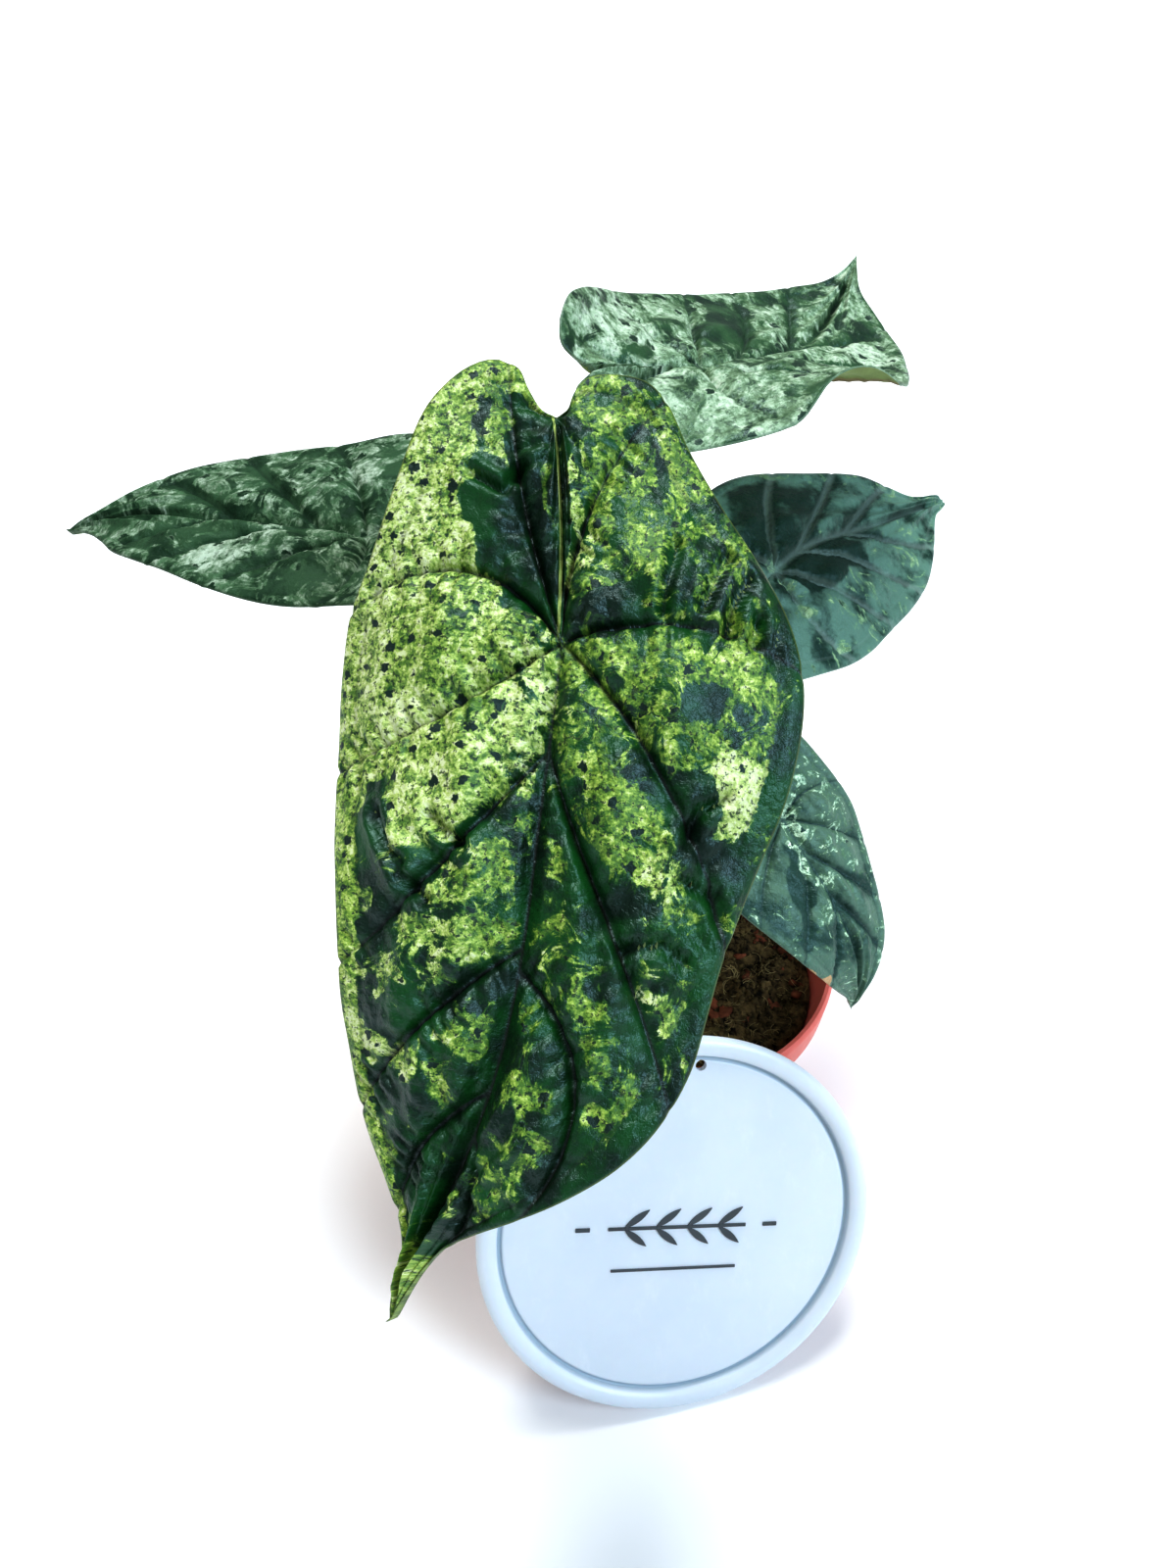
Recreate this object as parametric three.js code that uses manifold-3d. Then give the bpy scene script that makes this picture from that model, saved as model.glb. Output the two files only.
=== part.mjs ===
// A variegated dragon scale alocasia in a round plastic nursery pot, with a round plant label
// that stands on the table and leans on the pot's front rim.
// Millimetres, +Z up. The origin is the middle of the pot's base, and the plant faces -Y.
import * as THREE from "three";
import { mergeVertices } from "three/addons/utils/BufferGeometryUtils.js";
import Module from "manifold-3d";

const wasm = await Module();
wasm.setup();

// Pot
const RIM_RADIUS = 60;
const POT_HEIGHT = 94;
const BASE_RADIUS = 43;
const BAND_HEIGHT = 13;
const POT_SEGMENTS = 56;
const DRAIN_HOLES = 6;
const DRAIN_RADIUS = 4;
const DRAIN_CIRCLE = 25;

// Soil
const SOIL_FLOOR = 3.8;
const SOIL_TOP = 81;
const SOIL_SEGMENTS = 44;
const BARK_CHIPS = 18;

// Clearance between neighbouring solids
const GAP = 0.3;

// Label
const LABEL_RADIUS = 62.5;
const LABEL_BAND = 6.6;
const LABEL_HOLE = 1.7;
const LABEL_CENTRE = [3.7, -82.15, 55.7];
const LABEL_LEAN = 26.7;
const LABEL_TURN = 13.3;
const LABEL_SPIN = -11;

// Stems
const STEM_SIDES = 9;
const STEM_CIRCLE = 12.5;
const STEM_DEPTH = 19;

// The share of a blade's half width where its rolled edge begins
const EDGE_BAND = 0.88;

const COLOURS = {
  pot: 0xb5583f,
  soil: 0x2e2119,
  corm: 0x6a5138,
  stem: 0x5d7a45,
  leaf: 0x2c5a2c,
  label: 0xdfe9f0,
};

const rad = THREE.MathUtils.degToRad;

// A repeatable draw between 0 and 1
function seeded(seed) {
  let state = seed;
  return () => {
    state = (state * 1664525 + 1013904223) % 4294967296;
    return state / 4294967296;
  };
}

function material(colour, roughness) {
  return new THREE.MeshStandardMaterial({ color: colour, roughness, metalness: 0 });
}

function named(name, geometry, colour, roughness) {
  const mesh = new THREE.Mesh(geometry, material(colour, roughness));
  mesh.name = name;
  return mesh;
}

// Joins and cuts work on closed solids
function solid(geometry) {
  const bare = geometry.clone();
  bare.deleteAttribute("normal");
  bare.deleteAttribute("uv");
  const merged = mergeVertices(bare, 1e-3);
  return new wasm.Manifold(
    new wasm.Mesh({
      numProp: 3,
      vertProperties: new Float32Array(merged.attributes.position.array),
      triVerts: new Uint32Array(merged.index.array),
    }),
  );
}

function surface(shape) {
  const mesh = shape.getMesh();
  const geometry = new THREE.BufferGeometry();
  geometry.setAttribute("position", new THREE.BufferAttribute(mesh.vertProperties, 3));
  geometry.setIndex(new THREE.BufferAttribute(mesh.triVerts, 1));
  return geometry;
}

// A profile of [radius, height] turned about Z
function turned(profile, segments) {
  const points = profile.map(([r, z]) => new THREE.Vector2(r, z));
  return new THREE.LatheGeometry(points, segments).rotateX(Math.PI / 2);
}

// Triangles from lists of corner points, with collapsed ones left out
function fromTriangles(triangles) {
  const positions = [];
  for (const [a, b, c] of triangles) {
    const flat = a.distanceToSquared(b) < 1e-8 || b.distanceToSquared(c) < 1e-8;
    if (flat || c.distanceToSquared(a) < 1e-8) continue;
    positions.push(a.x, a.y, a.z, b.x, b.y, b.z, c.x, c.y, c.z);
  }
  const geometry = new THREE.BufferGeometry();
  geometry.setAttribute("position", new THREE.Float32BufferAttribute(positions, 3));
  return mergeVertices(geometry, 1e-4);
}

// A smooth line through stations [along, value...], by Catmull-Rom tangents
function through(rows, column, along) {
  const last = rows.length - 1;
  const at = Math.min(Math.max(along, rows[0][0]), rows[last][0]);
  let i = 0;
  while (i < last - 1 && at > rows[i + 1][0]) i++;
  const slope = (k) => {
    const a = Math.max(k - 1, 0);
    const b = Math.min(k + 1, last);
    return (rows[b][column] - rows[a][column]) / (rows[b][0] - rows[a][0]);
  };
  const h = rows[i + 1][0] - rows[i][0];
  const t = (at - rows[i][0]) / h;
  const t2 = t * t;
  const t3 = t2 * t;
  return (
    (2 * t3 - 3 * t2 + 1) * rows[i][column] +
    (t3 - 2 * t2 + t) * h * slope(i) +
    (3 * t2 - 2 * t3) * rows[i + 1][column] +
    (t3 - t2) * h * slope(i + 1)
  );
}

// A turned cup with a rim band, a foot ring and drain holes
function makePot() {
  const bandFoot = POT_HEIGHT - BAND_HEIGHT;
  const shoulder = RIM_RADIUS - 4.4;
  const geometry = turned(
    [
      [0, 0],
      [15, 0],
      [16.5, 1.6],
      [34, 1.6],
      [35.5, 0],
      [BASE_RADIUS - 1, 0],
      [BASE_RADIUS, 1.2],
      [shoulder, bandFoot - 1.5],
      [RIM_RADIUS - 1.6, bandFoot],
      [RIM_RADIUS, POT_HEIGHT - 1.8],
      [RIM_RADIUS - 0.5, POT_HEIGHT - 0.5],
      [RIM_RADIUS - 1.4, POT_HEIGHT],
      [RIM_RADIUS - 2.4, POT_HEIGHT - 0.5],
      [RIM_RADIUS - 2.8, POT_HEIGHT - 1.8],
      [shoulder - 1.6, bandFoot - 1.5],
      [BASE_RADIUS - 1.7, 3.4],
      [0, 3.4],
    ],
    POT_SEGMENTS,
  );
  let pot = solid(geometry);
  for (let i = 0; i < DRAIN_HOLES; i++) {
    const angle = (2 * Math.PI * (i + 0.5)) / DRAIN_HOLES;
    const drill = new THREE.CylinderGeometry(DRAIN_RADIUS, DRAIN_RADIUS, 12, 12);
    drill.rotateX(Math.PI / 2);
    drill.translate(DRAIN_CIRCLE * Math.cos(angle), DRAIN_CIRCLE * Math.sin(angle), 2);
    pot = pot.subtract(solid(drill));
  }
  return named("pot", surface(pot), COLOURS.pot, 0.55);
}

// The inside radius of the pot at a height
function potInside(z) {
  const low = BASE_RADIUS - 1.7;
  const high = RIM_RADIUS - 6;
  return low + ((high - low) * (z - 3.4)) / (POT_HEIGHT - BAND_HEIGHT - 4.9);
}

// The leaves.
// Each posture row: distance along the midrib from the stalk's joint (towards the tip is +),
// heading of the tip (0 faces -Y, 90 faces +X), droop below level, roll about the midrib,
// then the blade's slope at the midrib and at its widest, left and right (up is +). Degrees.
// Outlines run from the notch between the lobes to the tip, as [across, along].
// Ribs: start on the midrib, end on the edge, bow as a share of the rib's length, and the
// number of rows that the panel before the rib is divided by.
const FRONT = {
  name: "front",
  joint: [-29.6, -68.1, 256.7],
  halfWidth: 56,
  thickness: 1.0,
  lift: 2.6,
  rings: [0.05, 0.13, 0.24, 0.36, 0.48, 0.6, 0.71, 0.8, 0.88, 0.94, 1],
  posture: [
    [-66, 12, 38, 4, 6, -22, 6, -14],
    [-30, 3, 39, 4, 9, -28, 9, -20],
    [0, -6, 40, 4, 12, -34, 12, -26],
    [25, -10, 42, 3, 12, -40, 12, -30],
    [50, -9, 44, 1, 12, -42, 12, -32],
    [80, -19, 47, -2, 12, -36, 12, -34],
    [110, -39, 52, -3, 10, -26, 10, -30],
    [152, -56, 60, 0, 8, -12, 8, -12],
  ],
  stations: [-42, -30, -18, -8, 8, 16, 24, 34, 44, 54, 65, 70, 78, 87, 95, 105, 114, 123, 132, 142],
  left: {
    outline: [
      [0, -52.5], [-3, -54.5], [-5.4, -60], [-7, -65.5], [-12, -68.3], [-18.5, -67], [-25.6, -62],
      [-30, -56.5], [-38, -39], [-45.5, -20], [-51, -8], [-53.5, 4], [-54.7, 16], [-53.5, 28],
      [-49, 45], [-44.7, 62], [-41, 77], [-37, 94], [-31.5, 108], [-24, 117.5], [-15, 124.5],
      [-7, 131], [-3.2, 137], [-1.6, 146], [0, 152],
    ],
    ribs: [
      [0, [-13, -68], -0.08, 5],
      [0, [-51, -9], 0.42, 5],
      [0, [-52.5, 31], -0.1, 4],
      [24, [-41, 77], 0, 4],
      [65, [-34, 102], 0, 4],
      [95, [-9, 129], 0.28, 4],
    ],
  },
  right: {
    outline: [
      [0, -52.5], [2.7, -54], [4.7, -58], [8, -61], [13, -61.2], [21, -58.5], [24.8, -53],
      [28.5, -41], [34.5, -28.5], [42, -17], [49, -5.5], [52.3, 4], [53, 12], [52.2, 22],
      [50.5, 31], [47, 43], [43.5, 54], [41, 63], [39.8, 71], [38.5, 81], [35.2, 90], [30.8, 97],
      [24.8, 104], [17, 112.5], [10, 120.3], [5.3, 127], [3.2, 134], [1.6, 143], [0, 152],
    ],
    ribs: [
      [0, [22, -58], 0.36, 5],
      [0, [52, 3], 0.2, 5],
      [0, [42, 60], 0.22, 4],
      [8, [38, 82], -0.18, 3],
      [70, [17, 112.5], 0.4, 5],
      [105, [6, 126], 0.25, 3],
    ],
  },
  waves: [0, 0],
};

const BACK = {
  name: "back_right",
  joint: [9, 61, 271],
  halfWidth: 38,
  thickness: 0.9,
  lift: 1.8,
  rings: [0.06, 0.18, 0.34, 0.5, 0.65, 0.78, 0.88, 1],
  posture: [
    [-50, 125, 20, 44, 5, -8, 9, 16],
    [0, 130, 5, 8, 4, 15, 9, 12],
    [37, 141, 9, 9, 4, 13, 8, 9],
    [75, 154, -9, 15, 3, 9, 7, 7],
    [112, 155, -37, 22, 3, 7, 6, 5],
  ],
  stations: [-26, -12, 8, 16, 26, 36, 46, 57, 68, 79, 90, 101],
  left: {
    outline: [
      [0, -39], [-2, -43], [-7, -48.5], [-15, -48], [-22, -44], [-28, -37], [-34, -25], [-40, -12],
      [-42, -3], [-40, 4], [-38.5, 11], [-43, 25], [-43, 38], [-38.5, 50], [-33, 61], [-27, 73],
      [-20, 82], [-13, 90], [-5.5, 98], [-2.2, 105], [0, 112],
    ],
  },
  right: {
    outline: [
      [0, -39], [2, -44], [6, -50], [13, -49.5], [21, -44], [26, -35], [31, -23], [37, -8],
      [40.5, 4], [40.5, 15], [39, 24], [36.5, 38], [34, 52], [29, 64], [23, 74], [15.5, 85],
      [8, 94], [3, 103], [0, 112],
    ],
  },
  waves: [5, 0],
};

const LEFT = {
  name: "left",
  joint: [-83, 5, 245],
  halfWidth: 36,
  thickness: 0.9,
  lift: 1.7,
  rings: [0.06, 0.18, 0.34, 0.5, 0.65, 0.78, 0.88, 1],
  posture: [
    [-45, -111, -10, -6, 8, 6, 9, -11],
    [0, -110, 0, -8, 9, 5, 10, -9],
    [33, -110, 5, -6, 9, -2, 9, -10],
    [67, -106, 9, -8, 9, -6, 9, -8],
    [100, -103, 16, -23, 10, -7, 7, -6],
  ],
  stations: [-23, -10, 7, 14, 23, 32, 41, 51, 61, 71, 81, 91],
  left: {
    outline: [
      [0, -35], [-2, -39], [-7, -43], [-16, -43], [-23, -39], [-29, -31], [-36, -18], [-42, -6],
      [-45.5, 5], [-45.3, 16], [-42, 27], [-38, 43], [-33, 55], [-26, 67], [-18.5, 75], [-12, 82],
      [-6, 88.5], [-2.5, 94], [0, 100],
    ],
  },
  right: {
    outline: [
      [0, -35], [2, -39], [6, -43], [12, -43], [17, -39], [22, -31], [26, -20], [30, -9],
      [33.5, 2], [34.5, 10], [34, 20], [31.5, 33], [27, 48], [23, 60], [17.5, 71.5], [10, 81],
      [5, 88], [2.2, 94], [0, 100],
    ],
  },
  waves: [0, 0],
};

const RIGHT = {
  name: "right",
  joint: [34, 42, 215],
  halfWidth: 33,
  thickness: 0.9,
  lift: 1.7,
  rings: [0.06, 0.18, 0.34, 0.5, 0.65, 0.78, 0.88, 1],
  posture: [
    [-44, 147, -15, 36, 5, -12, 6, -10],
    [0, 145, -6, 31, 5, -13, 6, -11],
    [33, 134, 9, 28, 6, -13, 6, -11],
    [66, 132, 6, 30, 6, -10, 8, -8],
    [99, 137, 6, 29, 6, -6, 9, -5],
  ],
  stations: [-23, -10, 7, 14, 23, 32, 41, 51, 61, 71, 81, 91],
  left: {
    outline: [
      [0, -34], [-2, -38], [-7, -42.5], [-14, -42], [-20, -37], [-25, -30], [-31, -19], [-37, -5],
      [-39, 8], [-38, 24], [-36, 35], [-33, 46], [-27, 60], [-20, 70], [-14, 77], [-8, 84],
      [-4.5, 89.5], [-3.2, 95], [-2, 98.8], [0, 100],
    ],
  },
  right: {
    outline: [
      [0, -34], [2, -38], [6, -42.5], [12, -42.5], [17, -39], [21, -31], [25, -20], [29.5, -8],
      [32, 1], [33, 9], [32.4, 20], [29.7, 32], [26.3, 44], [22.6, 57], [18.6, 67], [11.7, 75.5],
      [6, 83], [4, 89.5], [3.2, 95], [2, 98.8], [0, 100],
    ],
  },
  waves: [0, 0],
};

const LOW = {
  name: "low_right",
  joint: [34, -16, 164],
  halfWidth: 29,
  thickness: 0.9,
  lift: 1.4,
  rings: [0.07, 0.2, 0.36, 0.52, 0.66, 0.78, 0.88, 1],
  posture: [
    [-31, 25, 34, 15, 5, -13, 8, -24],
    [0, 37, 37, 9, 4, -14, 7, -26],
    [23, 47, 43, 4, 4, -13, 6, -25],
    [46, 41, 67, -1, 5, -10, 7, -22],
    [69.5, 21, 99, 4, 6, -5, 9, -16],
  ],
  stations: [-15, -7, 5, 10, 16, 22, 28, 35, 42, 49, 56, 63],
  left: {
    outline: [
      [0, -24], [-1.5, -27], [-5, -30], [-10, -30], [-15, -27.5], [-18.5, -22], [-22.5, -13],
      [-26, -4], [-28.5, 5], [-28.5, 14], [-26.5, 22], [-23.2, 32], [-19, 41], [-13, 50],
      [-8, 56.5], [-3.5, 62], [-1.6, 66], [0, 69.5],
    ],
  },
  right: {
    outline: [
      [0, -24], [1.5, -27], [5, -30], [9, -30], [13.5, -27.5], [17, -22], [21.5, -10], [25, 1],
      [26.5, 9.5], [25, 20], [21.5, 28.5], [18.3, 37.5], [15, 46], [11.3, 51.5], [6.8, 57],
      [2.5, 62.5], [1.2, 66], [0, 69.5],
    ],
  },
  waves: [0, 0],
};

// The smaller leaves share one set of ribs: start as a share of the length from joint to tip,
// end as a share of the edge from notch to tip.
const COMMON_RIBS = [
  [0, 0.1, 0.2, 4],
  [0, 0.36, 0.26, 4],
  [0, 0.56, 0.06, 3],
  [0.14, 0.7, -0.06, 3],
  [0.41, 0.83, 0.04, 3],
];

// The midrib's frame along a leaf, summed in small steps from the joint
function spine(leaf) {
  const rows = leaf.posture;
  const step = 1;
  const first = Math.floor(rows[0][0]) - 8;
  const count = Math.ceil(rows[rows.length - 1][0]) + 8 - first + 1;
  const frames = [];
  for (let i = 0; i < count; i++) {
    const along = first + i * step;
    const heading = rad(through(rows, 1, along));
    const droop = rad(through(rows, 2, along));
    const roll = rad(through(rows, 3, along));
    const out = new THREE.Vector3(Math.sin(heading), -Math.cos(heading), 0);
    const tip = out.clone().multiplyScalar(Math.cos(droop)).setZ(-Math.sin(droop));
    const up = out.clone().multiplyScalar(Math.sin(droop)).setZ(Math.cos(droop));
    const side = up.clone().cross(tip);
    const across = side.clone().multiplyScalar(Math.cos(roll));
    across.addScaledVector(up, Math.sin(roll));
    const normal = up.clone().multiplyScalar(Math.cos(roll));
    normal.addScaledVector(side, -Math.sin(roll));
    frames.push({ along, tip, across, normal });
  }
  const zero = -first;
  frames[zero].point = new THREE.Vector3(...leaf.joint);
  const walk = (from, to, sign) => {
    const middle = frames[from].tip.clone().add(frames[to].tip).multiplyScalar(step / 2);
    frames[to].point = frames[from].point.clone().addScaledVector(middle, sign);
  };
  for (let i = zero; i < count - 1; i++) walk(i, i + 1, 1);
  for (let i = zero; i > 0; i--) walk(i, i - 1, -1);
  return (along) => {
    const at = Math.min(Math.max(along - first, 0), count - 1.001);
    const i = Math.floor(at);
    const t = at - i;
    return {
      point: frames[i].point.clone().lerp(frames[i + 1].point, t),
      across: frames[i].across.clone().lerp(frames[i + 1].across, t),
      normal: frames[i].normal.clone().lerp(frames[i + 1].normal, t),
    };
  };
}

// Bends a point of the flat blade (across, along, height over the blade) into its place
function bend(leaf, frame, across, along, height) {
  const rows = leaf.posture;
  const side = across < 0 ? -1 : 1;
  const column = across < 0 ? 4 : 6;
  const inner = rad(through(rows, column, along));
  const outer = rad(through(rows, column + 1, along));
  let curve = (outer - inner) / leaf.halfWidth;
  if (Math.abs(curve) < 1e-6) curve = 1e-6;
  const slope = inner + curve * Math.abs(across);
  const out = (side * (Math.sin(slope) - Math.sin(inner))) / curve - side * Math.sin(slope) * height;
  const rise = (Math.cos(inner) - Math.cos(slope)) / curve + Math.cos(slope) * height;
  const { point, across: x, normal } = frame(along);
  return point.addScaledVector(x, out).addScaledVector(normal, rise);
}

// A rolled quilted panel: sunk at its ribs, lifted between them, flat near the stalk's joint
function relief(leaf, panel, share, ring, along) {
  const hump = 4 * share * (1 - share);
  const inner = Math.min(ring / EDGE_BAND, 1);
  const body = Math.sin(Math.PI * Math.pow(inner, 0.8));
  const ripple = 0.3 * Math.sin(5.5 * Math.PI * inner + 1.7 * panel) * body;
  const sunk = Math.pow(1 - hump, 3) * Math.pow(1 - inner, 0.4) * Math.min(1, inner * 4);
  let height = leaf.lift * (Math.pow(hump, 0.7) * body * (1 + ripple) - 0.3 * sunk);
  if (ring > EDGE_BAND) height += 0.5 * Math.sin((Math.PI * (ring - EDGE_BAND)) / (1 - EDGE_BAND));
  if (along < 0) {
    const strip = Math.min(1, -along / 12);
    height += strip * 0.9 * Math.exp(-Math.pow((ring - 0.13) / 0.05, 2));
  }
  return height;
}

// Thicker under the ribs, thinner to the edge
function depth(leaf, share, ring) {
  const onRib = Math.pow(1 - 4 * share * (1 - share), 6) * (1 - ring);
  const onMidrib = Math.exp(-Math.pow(ring / 0.07, 2));
  return leaf.thickness * (1 - 0.25 * ring) + 0.7 * onRib + 1.1 * onMidrib;
}

// The edge of the far leaf dips and curls up once near its widest
function edgeWave(leaf, side, ring, along) {
  const size = leaf.waves[side === "left" ? 0 : 1];
  const fade = Math.exp(-Math.pow((along - 14) / 26, 2));
  return size * Math.pow(ring, 4) * Math.sin((2 * Math.PI * (along - 8)) / 56) * fade;
}

// The rows of one half of a blade, from the notch to the tip
function bladeRows(leaf, side) {
  const half = leaf[side];
  const points = half.outline.map(([x, y]) => new THREE.Vector3(x, y, 0));
  const edge = new THREE.CatmullRomCurve3(points, false, "centripetal");
  edge.arcLengthDivisions = 600;
  const notch = half.outline[0][1];
  const tip = half.outline[half.outline.length - 1][1];
  const nearest = ([x, y]) => {
    let best = 0;
    let least = Infinity;
    for (let i = 0; i <= 600; i++) {
      const p = edge.getPointAt(i / 600);
      const far = Math.hypot(p.x - x, p.y - y);
      if (far < least) {
        least = far;
        best = i / 600;
      }
    }
    return best;
  };
  const snap = (value) => {
    const marks = [0, ...leaf.stations];
    return marks.reduce((a, b) => (Math.abs(b - value) < Math.abs(a - value) ? b : a));
  };
  const ribs = half.ribs
    ? half.ribs.map(([from, to, bow, rows]) => ({ from, to: nearest(to), bow, rows }))
    : COMMON_RIBS.map(([from, to, bow, rows]) => ({ from: snap(from * tip), to, bow, rows }));
  const all = [
    { from: notch, to: 0, bow: 0, rows: 0 },
    ...ribs,
    { from: tip, to: 1, bow: 0, rows: 3 },
  ];
  const rows = [{ from: notch, to: 0, bow: 0, panel: 0, share: 0 }];
  for (let k = 1; k < all.length; k++) {
    const a = all[k - 1];
    const b = all[k];
    const own = leaf.stations.filter((s) => s > a.from && s < b.from);
    const extra = Math.max(0, b.rows - 1 - own.length);
    const starts = [...new Array(extra).fill(a.from), ...own, b.from];
    starts.forEach((from, i) => {
      const share = (i + 1) / starts.length;
      const ends = a.to + (b.to - a.to) * share;
      rows.push({ from, to: ends, bow: a.bow + (b.bow - a.bow) * share, panel: k, share: share % 1 });
    });
  }
  return { rows, edge };
}

// A point of a row: a quadratic bow from the midrib to the edge
function alongRow(row, edge, ring, side) {
  const start = new THREE.Vector2(0, row.from);
  const e = edge.getPointAt(row.to);
  const end = new THREE.Vector2(e.x, e.y);
  const chord = end.clone().sub(start);
  const turn = side === "left" ? 1 : -1;
  const off = new THREE.Vector2(-chord.y, chord.x).multiplyScalar(row.bow * turn);
  const control = start.clone().add(end).multiplyScalar(0.5).add(off);
  const a = (1 - ring) * (1 - ring);
  const b = 2 * ring * (1 - ring);
  const c = ring * ring;
  return new THREE.Vector2(
    a * start.x + b * control.x + c * end.x,
    a * start.y + b * control.y + c * end.y,
  );
}

function blade(leaf) {
  const frame = spine(leaf);
  const rings = [0, ...leaf.rings];
  const triangles = [];
  for (const side of ["left", "right"]) {
    const { rows, edge } = bladeRows(leaf, side);
    const top = [];
    const under = [];
    for (const row of rows) {
      const upper = [];
      const lower = [];
      for (const ring of rings) {
        const p = alongRow(row, edge, ring, side);
        const pole = row.to === 0 || row.to === 1;
        const t = pole ? 1 : ring;
        const joined = ring < 0.08 ? 0 : 1;
        const wave = edgeWave(leaf, side, t, p.y);
        const z = pole ? 0 : relief(leaf, row.panel, row.share, ring, row.from) * joined + wave;
        const d = pole ? leaf.thickness * 0.9 : depth(leaf, ring < 0.08 ? 0.5 : row.share, ring);
        const x = Math.abs(p.x) < 1e-6 ? 0 : p.x;
        upper.push(bend(leaf, frame, x, p.y, z));
        lower.push(bend(leaf, frame, x, p.y, z - d));
      }
      top.push(upper);
      under.push(lower);
    }
    const flip = side === "left";
    const add = (a, b, c) => triangles.push(flip ? [a, c, b] : [a, b, c]);
    for (let i = 0; i < rows.length - 1; i++) {
      for (let j = 0; j < rings.length - 1; j++) {
        add(top[i][j], top[i + 1][j + 1], top[i][j + 1]);
        add(top[i][j], top[i + 1][j], top[i + 1][j + 1]);
        add(under[i][j], under[i][j + 1], under[i + 1][j + 1]);
        add(under[i][j], under[i + 1][j + 1], under[i + 1][j]);
      }
      const j = rings.length - 1;
      add(top[i][j], top[i + 1][j], under[i + 1][j]);
      add(top[i][j], under[i + 1][j], under[i][j]);
    }
  }
  return fromTriangles(triangles);
}

// A round stalk along a curve, its radius given from foot to head, both ends cut square
function stalk(points, radiusAt, steps) {
  const curve = new THREE.CatmullRomCurve3(points, false, "centripetal");
  const frames = curve.computeFrenetFrames(steps, false);
  const rings = [];
  for (let i = 0; i <= steps; i++) {
    const centre = curve.getPointAt(i / steps);
    const radius = radiusAt(i / steps);
    const ring = [];
    for (let k = 0; k < STEM_SIDES; k++) {
      const angle = (2 * Math.PI * k) / STEM_SIDES;
      const p = centre.clone();
      p.addScaledVector(frames.normals[i], radius * Math.cos(angle));
      p.addScaledVector(frames.binormals[i], radius * Math.sin(angle));
      ring.push(p);
    }
    rings.push({ centre, ring });
  }
  const triangles = [];
  for (let k = 0; k < STEM_SIDES; k++) {
    const n = (k + 1) % STEM_SIDES;
    triangles.push([rings[0].centre, rings[0].ring[n], rings[0].ring[k]]);
    triangles.push([rings[steps].centre, rings[steps].ring[k], rings[steps].ring[n]]);
    for (let i = 0; i < steps; i++) {
      const a = rings[i].ring;
      const b = rings[i + 1].ring;
      triangles.push([a[k], a[n], b[n]], [a[k], b[n], b[k]]);
    }
  }
  return fromTriangles(triangles);
}

// Where each stalk leaves the soil (degrees round the crown) and how its middle sways
const STALKS = {
  front: { foot: 246, sway: [2, 14, 4], radii: [4.2, 2.4] },
  back_right: { foot: 100, sway: [-12, 4, 0], radii: [3.6, 2] },
  left: { foot: 174, sway: [0, 0, 10], radii: [3.6, 2] },
  right: { foot: 36, sway: [-6, 0, 8], radii: [3.4, 1.9] },
  low_right: { foot: 316, sway: [-4, 6, 6], radii: [3, 1.7] },
};

function stalkPath(leaf) {
  const { foot, sway } = STALKS[leaf.name];
  const a = rad(foot);
  const frame = spine(leaf)(0);
  const normal = frame.normal.clone().normalize();
  const seat = depth(leaf, 0.5, 0) + GAP + 0.05;
  const head = frame.point.clone().addScaledVector(normal, -seat);
  const neck = head.clone().addScaledVector(normal, -9);
  const lower = head.clone().addScaledVector(normal, -20);
  const base = new THREE.Vector3(Math.cos(a), Math.sin(a), 0).multiplyScalar(STEM_CIRCLE);
  const sole = base.clone().setZ(SOIL_TOP - STEM_DEPTH);
  const collar = base.clone().multiplyScalar(0.94).setZ(SOIL_TOP + 4);
  const rise = base.clone().multiplyScalar(0.96).setZ(SOIL_TOP + 22);
  const middle = rise.clone().lerp(lower, 0.55).add(new THREE.Vector3(...sway));
  return [sole, collar, rise, middle, lower, neck, head];
}

function makeStalk(leaf) {
  const [thick, thin] = STALKS[leaf.name].radii;
  const radiusAt = (t) => thin + (thick - thin) * Math.pow(1 - t, 2.2);
  const points = stalkPath(leaf);
  return stalk(points, radiusAt, 18);
}

// The corm at the crown: radius and height over the soil
const CORM_PROFILE = [
  [0, -17],
  [4.5, -16.5],
  [6.6, -12],
  [7, -3],
  [6.7, 5],
  [5.6, 11],
  [3.4, 15.5],
  [0, 17.5],
];

function makeCorm() {
  const geometry = turned(CORM_PROFILE, 12).translate(0, 0, SOIL_TOP);
  const position = geometry.attributes.position;
  for (let i = 0; i < position.count; i++) {
    const angle = Math.atan2(position.getY(i), position.getX(i));
    const ridge = 1 + 0.05 * Math.sin(3 * angle + position.getZ(i) * 0.5);
    position.setX(i, position.getX(i) * ridge);
    position.setY(i, position.getY(i) * ridge);
  }
  return surface(solid(geometry));
}

// Uneven soil, heaped a little at the crown
function soilHeight(x, y) {
  const bumps = Math.sin(x * 0.31 + 1) * Math.cos(y * 0.27) + Math.sin(x * 0.13 - y * 0.21 + 2);
  const grit = Math.sin(x * 1.7 + y * 0.9) * Math.cos(y * 1.9 - x * 0.6);
  const heap = 2.5 * Math.exp(-(x * x + y * y) / 500);
  return SOIL_TOP + 1.1 * bumps + 0.5 * grit + heap;
}

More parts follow.
